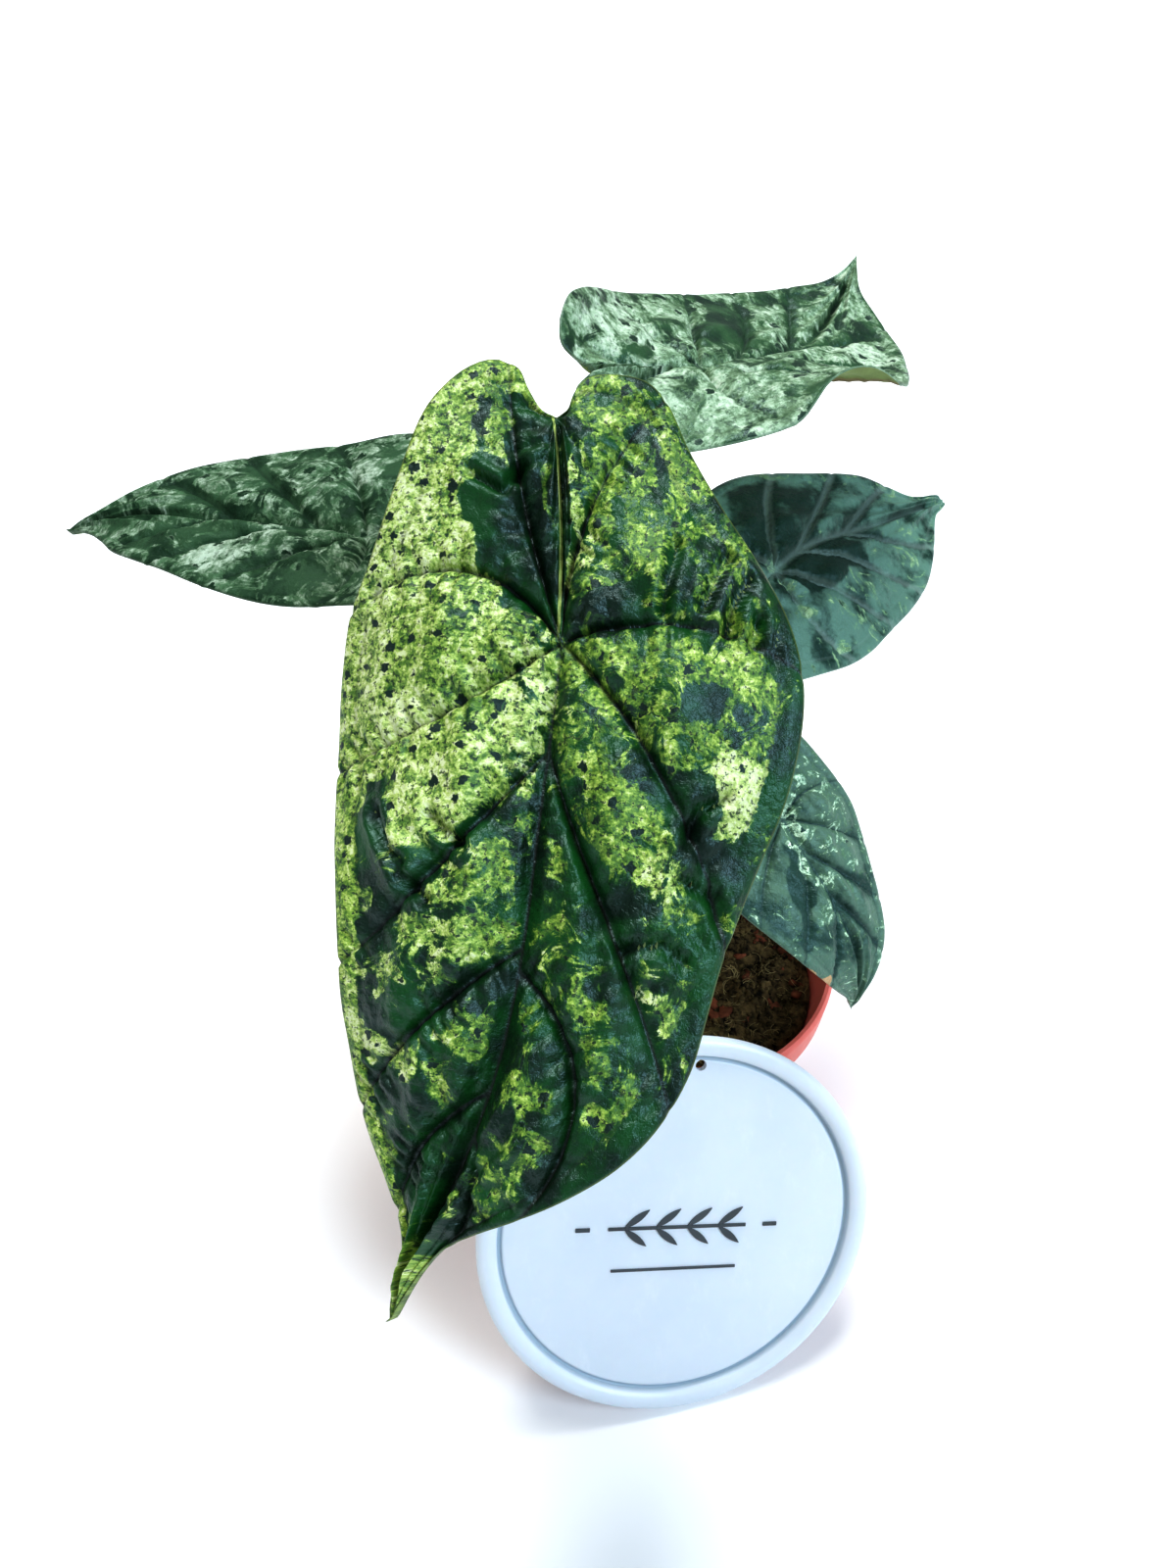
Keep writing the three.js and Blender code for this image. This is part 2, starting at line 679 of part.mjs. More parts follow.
function makeSoil() {
  const radii = [0, 5, 11, 17, 23, 29, 35, 41, 46.5, 51];
  const rim = potInside(SOIL_TOP - 2) - 0.45;
  const foot = potInside(SOIL_FLOOR) - 0.45;
  radii.push(rim);
  const at = (r, k) => {
    const a = (2 * Math.PI * k) / SOIL_SEGMENTS;
    const x = r * Math.cos(a);
    const y = r * Math.sin(a);
    const z = r > 51 ? SOIL_TOP - 2 : soilHeight(x, y);
    return new THREE.Vector3(x, y, z);
  };
  const low = (k) => {
    const a = (2 * Math.PI * k) / SOIL_SEGMENTS;
    return new THREE.Vector3(foot * Math.cos(a), foot * Math.sin(a), SOIL_FLOOR);
  };
  const triangles = [];
  const bottom = new THREE.Vector3(0, 0, SOIL_FLOOR);
  for (let k = 0; k < SOIL_SEGMENTS; k++) {
    const n = (k + 1) % SOIL_SEGMENTS;
    for (let i = 0; i < radii.length - 1; i++) {
      const [a, b] = [at(radii[i], k), at(radii[i + 1], k)];
      const [c, d] = [at(radii[i + 1], n), at(radii[i], n)];
      triangles.push([a, b, c], [a, c, d]);
    }
    triangles.push([at(rim, k), low(k), low(n)], [at(rim, k), low(n), at(rim, n)]);
    triangles.push([bottom, low(n), low(k)]);
  }
  let soil = solid(fromTriangles(triangles));
  const draw = seeded(11);
  for (let i = 0; i < BARK_CHIPS; i++) {
    const chip = new THREE.BoxGeometry(5 + 6 * draw(), 3 + 3 * draw(), 2.4 + 1.4 * draw());
    chip.rotateX((draw() - 0.5) * 0.7);
    chip.rotateY((draw() - 0.5) * 0.7);
    chip.rotateZ(draw() * Math.PI);
    const a = (2 * Math.PI * (i + 0.6 * draw())) / BARK_CHIPS;
    const r = 26 + 18 * draw();
    const x = r * Math.cos(a);
    const y = r * Math.sin(a);
    chip.translate(x, y, soilHeight(x, y) + 0.2);
    soil = soil.add(solid(chip));
  }
  const holeProfile = CORM_PROFILE.map(([r, z], i) => {
    const wider = r === 0 ? 0 : r * 1.06 + GAP + 0.1;
    return [wider, i < 2 ? z - GAP - 0.1 : z];
  });
  soil = soil.subtract(solid(turned(holeProfile, 12).translate(0, 0, SOIL_TOP)));
  for (const leaf of LEAVES) {
    const [thick] = STALKS[leaf.name].radii;
    const points = stalkPath(leaf).slice(0, 3);
    const down = points[0].clone().sub(points[1]).normalize();
    points[0].addScaledVector(down, GAP + 0.1);
    const hole = stalk(points, () => thick + GAP + 0.25, 6);
    soil = soil.subtract(solid(hole));
  }
  return surface(soil);
}

// A thin shape of the label's ornament, laid on its face
function raised(shape, x, y, turn) {
  const geometry = new THREE.ExtrudeGeometry(shape, { depth: 0.7, bevelEnabled: false, curveSegments: 5 });
  geometry.rotateZ(rad(turn));
  geometry.translate(x, y, 0.3);
  return solid(geometry);
}

function bar(width, height) {
  const shape = new THREE.Shape();
  shape.moveTo(-width / 2, -height / 2);
  shape.lineTo(width / 2, -height / 2);
  shape.lineTo(width / 2, height / 2);
  shape.lineTo(-width / 2, height / 2);
  shape.closePath();
  return shape;
}

function leaflet(length, width) {
  const shape = new THREE.Shape();
  shape.moveTo(0, 0);
  shape.quadraticCurveTo(length * 0.45, width * 0.9, length, 0);
  shape.quadraticCurveTo(length * 0.45, -width * 0.9, 0, 0);
  return shape;
}

// A round plant label with a rolled rim, a hole near its top and a leafy sprig for its mark
function makeLabel() {
  const band = LABEL_RADIUS - LABEL_BAND;
  const profile = [
    [0, -1.5],
    [LABEL_RADIUS - 3, -1.5],
    [LABEL_RADIUS - 0.9, -0.8],
    [LABEL_RADIUS, 0.5],
    [LABEL_RADIUS - 0.4, 1.7],
    [LABEL_RADIUS - 1.6, 2.6],
    [LABEL_RADIUS - 3.3, 2.9],
    [LABEL_RADIUS - 5, 2.5],
    [band + 0.2, 1.5],
    [band, 0.3],
    [band - 0.8, 0.15],
    [band - 1.5, 0.6],
    [0, 0.6],
  ];
  let label = solid(turned(profile, 60));
  const hole = new THREE.CylinderGeometry(LABEL_HOLE, LABEL_HOLE, 12, 12);
  hole.rotateX(Math.PI / 2);
  hole.translate(2, 52.8, 0);
  label = label.subtract(solid(hole));
  const parts = [
    raised(bar(44, 1), 0, 0, 0),
    raised(bar(4.4, 1.2), -30, 0, 0),
    raised(bar(4.4, 1.2), 30, 0, 0),
    raised(bar(40, 0.8), 0, -14, 0),
  ];
  for (const x of [-17, -7, 3, 13]) {
    parts.push(raised(leaflet(9.5, 4.4), x, 0.2, 38));
    parts.push(raised(leaflet(9.5, 4.4), x, -0.2, -38));
  }
  for (const part of parts) label = label.add(part);
  const mesh = named("label_disc", surface(label), COLOURS.label, 0.45);
  const lean = rad(LABEL_LEAN);
  const turn = rad(LABEL_TURN);
  const normal = new THREE.Vector3(
    Math.cos(lean) * Math.sin(turn),
    -Math.cos(lean) * Math.cos(turn),
    Math.sin(lean),
  );
  const up = new THREE.Vector3(0, 0, 1).addScaledVector(normal, -normal.z).normalize();
  const right = up.clone().cross(normal);
  mesh.quaternion.setFromRotationMatrix(new THREE.Matrix4().makeBasis(right, up, normal));
  mesh.rotateZ(rad(LABEL_SPIN));
  mesh.position.set(...LABEL_CENTRE);
  return mesh;
}

const LEAVES = [FRONT, BACK, LEFT, RIGHT, LOW];

const plant = new THREE.Group();
plant.add(makePot());
plant.add(named("soil", makeSoil(), COLOURS.soil, 0.95));
plant.add(named("corm", makeCorm(), COLOURS.corm, 0.85));
for (const leaf of LEAVES) {
  plant.add(named("petiole_" + leaf.name, makeStalk(leaf), COLOURS.stem, 0.5));
  plant.add(named("leaf_" + leaf.name, blade(leaf), COLOURS.leaf, 0.4));
}
plant.add(makeLabel());

export default plant;
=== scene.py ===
# %% [markdown]
# A variegated dragon scale alocasia in a round nursery pot, with the plant label that leans on it.
# The solid model of the plant is loaded first as a fixed frame: it says where every leaf, stalk
# and rim is. Finer pieces are then built in the same places, from the same sizes, and each one
# says which solid it stands for.

# %% Load the solid model
import math

import bpy
import numpy as np
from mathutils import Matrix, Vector


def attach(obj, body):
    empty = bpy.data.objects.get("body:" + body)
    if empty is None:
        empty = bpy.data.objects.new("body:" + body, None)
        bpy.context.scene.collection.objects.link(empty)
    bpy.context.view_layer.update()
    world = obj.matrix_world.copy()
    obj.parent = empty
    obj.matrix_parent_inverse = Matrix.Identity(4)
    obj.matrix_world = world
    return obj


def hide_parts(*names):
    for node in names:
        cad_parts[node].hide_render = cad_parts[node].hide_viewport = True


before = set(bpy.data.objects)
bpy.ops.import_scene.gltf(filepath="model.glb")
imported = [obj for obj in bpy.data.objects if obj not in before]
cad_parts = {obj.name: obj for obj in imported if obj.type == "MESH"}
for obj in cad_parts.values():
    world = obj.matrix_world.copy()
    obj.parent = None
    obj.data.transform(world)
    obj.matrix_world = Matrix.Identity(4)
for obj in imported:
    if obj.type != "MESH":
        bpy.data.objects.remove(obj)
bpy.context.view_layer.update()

MM = 0.001

# %% [markdown]
# The plant was photographed by hand from above and in front, close enough for strong
# perspective: the front leaf is near the lens and looks much larger than the ones behind.
# A camera is a place, a tilt and a focal length, so those three are kept as named values.

# %% Camera
CAMERA_PLACE = (-23.8 * MM, -283 * MM, 388 * MM)
CAMERA_LOOKS_DOWN = 38.3
FOCAL_PIXELS = 1202
FRAME_HEIGHT_PIXELS = 1600

camera_data = bpy.data.cameras.new("camera")
camera_data.sensor_width = 36
camera_data.lens = FOCAL_PIXELS * camera_data.sensor_width / FRAME_HEIGHT_PIXELS
camera_data.clip_start = 0.01
camera = bpy.data.objects.new("camera", camera_data)
camera.location = CAMERA_PLACE
camera.rotation_euler = (math.radians(90 - CAMERA_LOOKS_DOWN), 0, 0)
bpy.context.scene.collection.objects.link(camera)
bpy.context.scene.camera = camera
print("lens", round(camera_data.lens, 2), "mm")

# %% [markdown]
# Every finish is a small node tree. One helper turns an sRGB hex colour, as read on a screen,
# into the linear numbers that Blender's sockets hold. One adds a node with its settings and
# links, and gives back the node or one of its outputs. Others start a material and turn lists
# of points and faces into an object, and the last three are the curves that shape the relief.

# %% Helpers for colours, nodes and meshes
MATH = "ShaderNodeMath"
VECTOR_MATH = "ShaderNodeVectorMath"
MAP_RANGE = "ShaderNodeMapRange"
MIX = "ShaderNodeMix"
NOISE = "ShaderNodeTexNoise"


def linear(hex_colour):
    channels = [int(hex_colour[i:i + 2], 16) / 255 for i in (0, 2, 4)]
    return [c / 12.92 if c <= 0.04045 else ((c + 0.055) / 1.055) ** 2.4 for c in channels] + [1.0]


def join_inputs(tree, node, inputs):
    for key, value in inputs.items():
        if isinstance(value, bpy.types.NodeSocket):
            tree.links.new(value, node.inputs[key])
        else:
            node.inputs[key].default_value = value


def add(tree, kind, inputs=None, out=None, **settings):
    node = tree.nodes.new(kind)
    for name, value in settings.items():
        setattr(node, name, value)
    join_inputs(tree, node, inputs or {})
    return node if out is None else node.outputs[out]


def start_material(name):
    material = bpy.data.materials.new(name)
    material.use_nodes = True
    tree = material.node_tree
    skin = next(n for n in tree.nodes if n.type == "BSDF_PRINCIPLED")
    return material, tree, skin


def piece_from(name, points, faces, materials):
    mesh = bpy.data.meshes.new(name)
    mesh.from_pydata(points, [], faces)
    mesh.polygons.foreach_set("use_smooth", [True] * len(mesh.polygons))
    for material in materials:
        mesh.materials.append(material)
    mesh.update()
    piece = bpy.data.objects.new(name, mesh)
    bpy.context.scene.collection.objects.link(piece)
    return piece


def smoothstep(low, high, value):
    t = np.clip((value - low) / (high - low), 0, 1)
    return t * t * (3 - 2 * t)


def bell(distance, width):
    return np.exp(-((distance / width) ** 2))


def between(first, last, share):
    return first + (last - first) * share


print("white is", linear("ffffff"))

# %% [markdown]
# An alocasia leaf is a flat shape that has been bent. So each leaf is described flat, in
# millimetres across and along its midrib, and a few posture rows say how the midrib turns,
# droops and rolls and how each half slopes. Along is 0 at the stalk and grows to the tip.
# Posture rows: along, heading, droop, roll, then the slope at the midrib and at the widest,
# left and right. Stations: places on the midrib where a row of the blade may start. Ribs: start
# on the midrib, end on the edge, bow, and rows in the panel. Creases: short folds in the skin,
# each drawn as a line. Lift is the height of the quilting and wave that of the left edge's
# curl. Steps and rings say how fine the grid is, along the edge and out from the midrib.

# %% The front leaf
FRONT = {
    "name": "front",
    "joint": (-29.6, -68.1, 256.7),
    "half_width": 56,
    "thickness": 1.0,
    "lift": 2.6,
    "posture": [
        (-66, 12, 38, 4, 6, -22, 6, -14),
        (-30, 3, 39, 4, 9, -28, 9, -20),
        (0, -6, 40, 4, 12, -34, 12, -26),
        (25, -10, 42, 3, 12, -40, 12, -30),
        (50, -9, 44, 1, 12, -42, 12, -32),
        (80, -19, 47, -2, 12, -36, 12, -34),
        (110, -39, 52, -3, 10, -26, 10, -30),
        (152, -56, 60, 0, 8, -12, 8, -12),
    ],
    "stations": [
        -42, -30, -18, -8, 8, 16, 24, 34, 44, 54, 65, 70, 78, 87, 95, 105, 114, 123, 132, 142,
    ],
    "left": [
        (0, -52.5), (-3, -54.5), (-5.4, -60), (-7, -65.5), (-12, -68.3), (-18.5, -67), (-25.6, -62),
        (-30, -56.5), (-38, -39), (-45.5, -20), (-51, -8), (-53.5, 4), (-54.7, 16), (-53.5, 28),
        (-49, 45), (-44.7, 62), (-41, 77), (-37, 94), (-31.5, 108), (-24, 117.5), (-15, 124.5),
        (-7, 131), (-3.2, 137), (-1.6, 146), (0, 152),
    ],
    "right": [
        (0, -52.5), (2.7, -54), (4.7, -58), (8, -61), (13, -61.2), (21, -58.5), (24.8, -53),
        (28.5, -41), (34.5, -28.5), (42, -17), (49, -5.5), (52.3, 4), (53, 12), (52.2, 22),
        (50.5, 31), (47, 43), (43.5, 54), (41, 63), (39.8, 71), (38.5, 81), (35.2, 90), (30.8, 97),
        (24.8, 104), (17, 112.5), (10, 120.3), (5.3, 127), (3.2, 134), (1.6, 143), (0, 152),
    ],
    "ribs": {
        "left": [
            (0, (-9, -67), -0.13, 5), (0, (-51, -9), 0.48, 5), (0, (-52.5, 31), -0.1, 4),
            (24, (-41, 77), 0, 4), (65, (-26, 113), 0.2, 4), (95, (-9, 129), 0.28, 4),
        ],
        "right": [
            (0, (24, -53.5), 0.24, 5), (0, (52, 3), 0.2, 5), (0, (42, 60), 0.13, 4),
            (24, (36, 87), -0.06, 3), (70, (17, 112.5), 0.4, 5), (105, (6, 126), 0.25, 3),
        ],
    },
    "creases": [
        [(21.5, -6), (22.2, -11), (24, -20)],
        [(30, -7), (33, -15), (35.5, -18)],
        [(35.3, -3), (36, -6.4), (37.6, -11), (40, -14)],
        [(41, -1), (41.5, -6)],
        [(38, 30), (33, 33), (31, 40)],
        [(30, 48), (37, 50), (40, 56)],
        [(21, 62), (28, 60), (33, 63)],
        [(-15, 45), (-22, 40)],
        [(-36, 40), (-31, 48), (-27, 50)],
        [(-21, 58), (-28, 52)],
        [(-9, -40), (-13, -34), (-20, -40)],
    ],
    "wave": 0,
    "steps": 7,
    "rings": 84,
}

# %% The four leaves behind it
BACK = {
    "name": "back_right",
    "joint": (9, 61, 271),
    "half_width": 38,
    "thickness": 0.9,
    "lift": 1.8,
    "posture": [
        (-50, 125, 20, 44, 5, -8, 9, 16),
        (0, 130, 5, 8, 4, 15, 9, 12),
        (37, 141, 9, 9, 4, 13, 8, 9),
        (75, 154, -9, 15, 3, 9, 7, 7),
        (112, 155, -37, 22, 3, 7, 6, 5),
    ],
    "stations": [-26, -12, 8, 16, 26, 36, 46, 57, 68, 79, 90, 101],
    "left": [
        (0, -39), (-2, -43), (-7, -48.5), (-15, -48), (-22, -44), (-28, -37), (-34, -25), (-40, -12),
        (-42, -3), (-40, 4), (-38.5, 11), (-43, 25), (-43, 38), (-38.5, 50), (-33, 61), (-27, 73),
        (-20, 82), (-13, 90), (-5.5, 98), (-2.2, 105), (0, 112),
    ],
    "right": [
        (0, -39), (2, -44), (6, -50), (13, -49.5), (21, -44), (26, -35), (31, -23), (37, -8),
        (40.5, 4), (40.5, 15), (39, 24), (36.5, 38), (34, 52), (29, 64), (23, 74), (15.5, 85),
        (8, 94), (3, 103), (0, 112),
    ],
    "wave": 5,
    "steps": 6,
    "rings": 46,
}

LEFT = {
    "name": "left",
    "joint": (-83, 5, 245),
    "half_width": 36,
    "thickness": 0.9,
    "lift": 1.7,
    "posture": [
        (-45, -111, -10, -6, 8, 6, 9, -11),
        (0, -110, 0, -8, 9, 5, 10, -9),
        (33, -110, 5, -6, 9, -2, 9, -10),
        (67, -106, 9, -8, 9, -6, 9, -8),
        (100, -103, 16, -23, 10, -7, 7, -6),
    ],
    "stations": [-23, -10, 7, 14, 23, 32, 41, 51, 61, 71, 81, 91],
    "left": [
        (0, -35), (-2, -39), (-7, -43), (-16, -43), (-23, -39), (-29, -31), (-36, -18), (-42, -6),
        (-45.5, 5), (-45.3, 16), (-42, 27), (-38, 43), (-33, 55), (-26, 67), (-18.5, 75), (-12, 82),
        (-6, 88.5), (-2.5, 94), (0, 100),
    ],
    "right": [
        (0, -35), (2, -39), (6, -43), (12, -43), (17, -39), (22, -31), (26, -20), (30, -9),
        (33.5, 2), (34.5, 10), (34, 20), (31.5, 33), (27, 48), (23, 60), (17.5, 71.5), (10, 81),
        (5, 88), (2.2, 94), (0, 100),
    ],
    "wave": 0,
    "steps": 6,
    "rings": 46,
}

RIGHT = {
    "name": "right",
    "joint": (34, 42, 215),
    "half_width": 33,
    "thickness": 0.9,
    "lift": 1.7,
    "posture": [
        (-44, 147, -15, 36, 5, -12, 6, -10),
        (0, 145, -6, 31, 5, -13, 6, -11),
        (33, 134, 9, 28, 6, -13, 6, -11),
        (66, 132, 6, 30, 6, -10, 8, -8),
        (99, 137, 6, 29, 6, -6, 9, -5),
    ],
    "stations": [-23, -10, 7, 14, 23, 32, 41, 51, 61, 71, 81, 91],
    "left": [
        (0, -34), (-2, -38), (-7, -42.5), (-14, -42), (-20, -37), (-25, -30), (-31, -19), (-37, -5),
        (-39, 8), (-38, 24), (-36, 35), (-33, 46), (-27, 60), (-20, 70), (-14, 77), (-8, 84),
        (-4.5, 89.5), (-3.2, 95), (-2, 98.8), (0, 100),
    ],
    "right": [
        (0, -34), (2, -38), (6, -42.5), (12, -42.5), (17, -39), (21, -31), (25, -20), (29.5, -8),
        (32, 1), (33, 9), (32.4, 20), (29.7, 32), (26.3, 44), (22.6, 57), (18.6, 67), (11.7, 75.5),
        (6, 83), (4, 89.5), (3.2, 95), (2, 98.8), (0, 100),
    ],
    "wave": 0,
    "steps": 6,
    "rings": 46,
}

LOW = {
    "name": "low_right",
    "joint": (34, -16, 164),
    "half_width": 29,
    "thickness": 0.9,
    "lift": 1.4,
    "posture": [
        (-31, 25, 34, 15, 5, -13, 8, -24),
        (0, 37, 37, 9, 4, -14, 7, -26),
        (23, 47, 43, 4, 4, -13, 6, -25),
        (46, 41, 67, -1, 5, -10, 7, -22),
        (69.5, 21, 99, 4, 6, -5, 9, -16),
    ],
    "stations": [-15, -7, 5, 10, 16, 22, 28, 35, 42, 49, 56, 63],
    "left": [
        (0, -24), (-1.5, -27), (-5, -30), (-10, -30), (-15, -27.5), (-18.5, -22), (-22.5, -13),
        (-26, -4), (-28.5, 5), (-28.5, 14), (-26.5, 22), (-23.2, 32), (-19, 41), (-13, 50),
        (-8, 56.5), (-3.5, 62), (-1.6, 66), (0, 69.5),
    ],
    "right": [
        (0, -24), (1.5, -27), (5, -30), (9, -30), (13.5, -27.5), (17, -22), (21.5, -10), (25, 1),
        (26.5, 9.5), (25, 20), (21.5, 28.5), (18.3, 37.5), (15, 46), (11.3, 51.5), (6.8, 57),
        (2.5, 62.5), (1.2, 66), (0, 69.5),
    ],
    "wave": 0,
    "steps": 6,
    "rings": 46,
}

# The smaller leaves share one set of ribs: start as a share of the length from joint to tip,
# end as a share of the edge from notch to tip, bow, and rows in the panel before the rib.
COMMON_RIBS = [
    (0, 0.1, 0.2, 4), (0, 0.36, 0.26, 4), (0, 0.56, 0.06, 3), (0.14, 0.7, -0.06, 3),
    (0.41, 0.83, 0.04, 3),
]
LEAVES = [FRONT, BACK, LEFT, RIGHT, LOW]
print("leaves:", [leaf["name"] for leaf in LEAVES])

# %% [markdown]
# Bending comes in two steps. The midrib is walked in 1 mm steps, and at each step it has a
# direction across the leaf and a direction out of its face. A flat point then goes out along a
# circular arc from the midrib. Because both are formulas, any number of points can be bent, so
# the fine leaf lies exactly where the coarse solid lies.

# %% Bend a flat leaf
SPARE_SPINE = 8
NO_CURVE = 1e-6
TILT_REACH = 3


def through(rows, column, along):
    knots = np.array([row[0] for row in rows], float)
    values = np.array([row[column] for row in rows], float)
    slopes = np.gradient(values, knots)
    slopes[1:-1] = (values[2:] - values[:-2]) / (knots[2:] - knots[:-2])
    at = np.clip(along, knots[0], knots[-1])
    i = np.clip(np.searchsorted(knots, at) - 1, 0, len(knots) - 2)
    h = knots[i + 1] - knots[i]
    t = (at - knots[i]) / h
    return (
        (2 * t**3 - 3 * t**2 + 1) * values[i]
        + (t**3 - 2 * t**2 + t) * h * slopes[i]
        + (3 * t**2 - 2 * t**3) * values[i + 1]
        + (t**3 - t**2) * h * slopes[i + 1]
    )


def spine(leaf):
    rows = leaf["posture"]
    first, last = math.floor(rows[0][0]) - SPARE_SPINE, math.ceil(rows[-1][0]) + SPARE_SPINE
    along = np.arange(first, last + 1, dtype=float)
    heading, droop, roll = (np.radians(through(rows, c, along))[:, None] for c in (1, 2, 3))
    level = np.hstack([np.sin(heading), -np.cos(heading), np.zeros_like(heading)])
    upright = np.array([[0.0, 0.0, 1.0]])
    tip = level * np.cos(droop) - upright * np.sin(droop)
    up = level * np.sin(droop) + upright * np.cos(droop)
    side = np.cross(up, tip)
    across = side * np.cos(roll) + up * np.sin(roll)
    normal = up * np.cos(roll) - side * np.sin(roll)
    walk = np.vstack([np.zeros(3), np.cumsum((tip[1:] + tip[:-1]) / 2, axis=0)])
    walk += np.array(leaf["joint"]) - walk[np.argmin(np.abs(along))]
    return along, walk, across, normal


def on_spine(frames, along):
    at = np.clip(along, frames[0][0], frames[0][-1])
    return [
        np.stack([np.interp(at, frames[0], table[:, k]) for k in range(3)], axis=-1)
        for table in frames[1:]
    ]


def bend(leaf, frames, side, across, along, height):
    sign = -1 if side == "left" else 1
    column = 4 if side == "left" else 6
    inner = np.radians(through(leaf["posture"], column, along))
    outer = np.radians(through(leaf["posture"], column + 1, along))
    curve = (outer - inner) / leaf["half_width"]
    curve = np.where(np.abs(curve) < NO_CURVE, NO_CURVE, curve)
    slope = inner + curve * np.abs(across)
    tilt = slope * smoothstep(0, TILT_REACH, np.abs(across))
    out = sign * (np.sin(slope) - np.sin(inner)) / curve - sign * np.sin(tilt) * height
    rise = (np.cos(inner) - np.cos(slope)) / curve + np.cos(tilt) * height
    point, x, normal = on_spine(frames, along)
    return point + x * out[..., None] + normal * rise[..., None]


print("points on the front leaf's spine:", len(spine(FRONT)[0]))

# %% [markdown]
# A blade is a fan of rows that run from the midrib to the edge. The rows that lie on a rib are
# fixed by the rib list, and the rest are spread between them, so every panel between two ribs
# knows how far across it each row is. That share is what the quilting is built from.

# %% Rows of a blade
POINTS_PER_STRETCH = 30
ROWS_TO_TIP = 3


def smooth_outline(points):
    p = np.array(points, float)
    p = np.vstack([2 * p[0] - p[1], p, 2 * p[-1] - p[-2]])
    gap = np.sqrt(np.linalg.norm(np.diff(p, axis=0), axis=1))
    t = np.linspace(0, 1, POINTS_PER_STRETCH, endpoint=False)[:, None]
    fine = []
    for i in range(1, len(p) - 2):
        before, here, after = gap[i - 1:i + 2]
        start = (p[i] - p[i - 1]) / before - (p[i + 1] - p[i - 1]) / (before + here)
        start = (start + (p[i + 1] - p[i]) / here) * here
        end = (p[i + 1] - p[i]) / here - (p[i + 2] - p[i]) / (here + after)
        end = (end + (p[i + 2] - p[i + 1]) / after) * here
        step = p[i + 1] - p[i]
        square, cube = 3 * step - 2 * start - end, start + end - 2 * step
        fine.append(p[i] + start * t + square * t**2 + cube * t**3)
    line = np.vstack(fine + [p[-2:-1]])
    length = np.concatenate([[0], np.cumsum(np.linalg.norm(np.diff(line, axis=0), axis=1))])
    return line, length / length[-1]


def rib_list(leaf, side, line, length):
    if "ribs" in leaf:
        found = []
        for start, end, bow, rows in leaf["ribs"][side]:
            nearest = np.argmin(np.hypot(*(line - np.array(end)).T))
            found.append((start, length[nearest], bow, rows))
        return found
    tip = leaf[side][-1][1]
    marks = [0] + leaf["stations"]
    starts = [min(marks, key=lambda mark: abs(mark - row[0] * tip)) for row in COMMON_RIBS]
    return [(start, *row[1:]) for start, row in zip(starts, COMMON_RIBS)]


def blade_rows(leaf, side):
    line, length = smooth_outline(leaf[side])
    notch, tip = leaf[side][0][1], leaf[side][-1][1]
    ribs = rib_list(leaf, side, line, length)
    marks = [(notch, 0, 0, 0)] + ribs + [(tip, 1, 0, ROWS_TO_TIP)]
    rows = [(notch, 0, 0, 0, 0)]
    for panel, (a, b) in enumerate(zip(marks, marks[1:]), 1):
        own = [s for s in leaf["stations"] if a[0] < s < b[0]]
        starts = [a[0]] * max(0, b[3] - 1 - len(own)) + own + [b[0]]
        for i, start in enumerate(starts, 1):
            share = i / len(starts)
            end, bow = between(a[1], b[1], share), between(a[2], b[2], share)
            rows.append((start, end, bow, share, panel))
    fine = [rows[0]]
    for a, b in zip(rows, rows[1:]):
        first_share = a[3] if a[4] == b[4] else 0
        for j in range(1, leaf["steps"] + 1):
            t = j / leaf["steps"]
            blended = [between(a[c], b[c], t) for c in range(3)]
            fine.append((*blended, between(first_share, b[3], t), b[4]))
    return np.array(fine, float), line, length, ribs


def along_row(start, end_share, bow, ring, line, length, side):
    turn = 1 if side == "left" else -1
    end = np.stack([np.interp(end_share, length, line[:, k]) for k in range(2)], axis=-1)
    begin = np.stack([np.zeros_like(start), start], axis=-1)
    chord = end - begin
    off = np.stack([-chord[..., 1], chord[..., 0]], axis=-1) * (bow * turn)[..., None]
    control = (begin + end) / 2 + off
    t = ring[..., None]
    return (1 - t) ** 2 * begin + 2 * t * (1 - t) * control + t**2 * end


print("rows of the front leaf:", [len(blade_rows(FRONT, side)[0]) for side in ("left", "right")])

# %% [markdown]
# Uneven skin needs numbers that look random but are the same each run. A lattice of random
# heights with smooth slopes between them gives soft swellings. Random spots, one in each square,
# give pebbles: a point is high where its nearest spot is much nearer than the second. The third
# function measures how far each point is from a line, and how far along the line.

# %% Random swellings and pebbles
TABLE_SIZE = 64
PEBBLE_STEEPNESS = 1.6
FAR_AWAY = 1e3


def lattice(x, y, size, seed):
    table = np.random.RandomState(seed).rand(TABLE_SIZE, TABLE_SIZE)
    u, v = x / size, y / size
    i, j = np.floor(u).astype(int), np.floor(v).astype(int)
    a, b = u - i, v - j
    a, b = a * a * (3 - 2 * a), b * b * (3 - 2 * b)
    left, right = i % TABLE_SIZE, (i + 1) % TABLE_SIZE
    lower, upper = j % TABLE_SIZE, (j + 1) % TABLE_SIZE
    low = table[left, lower] * (1 - a) + table[right, lower] * a
    high = table[left, upper] * (1 - a) + table[right, upper] * a
    return low * (1 - b) + high * b - 0.5


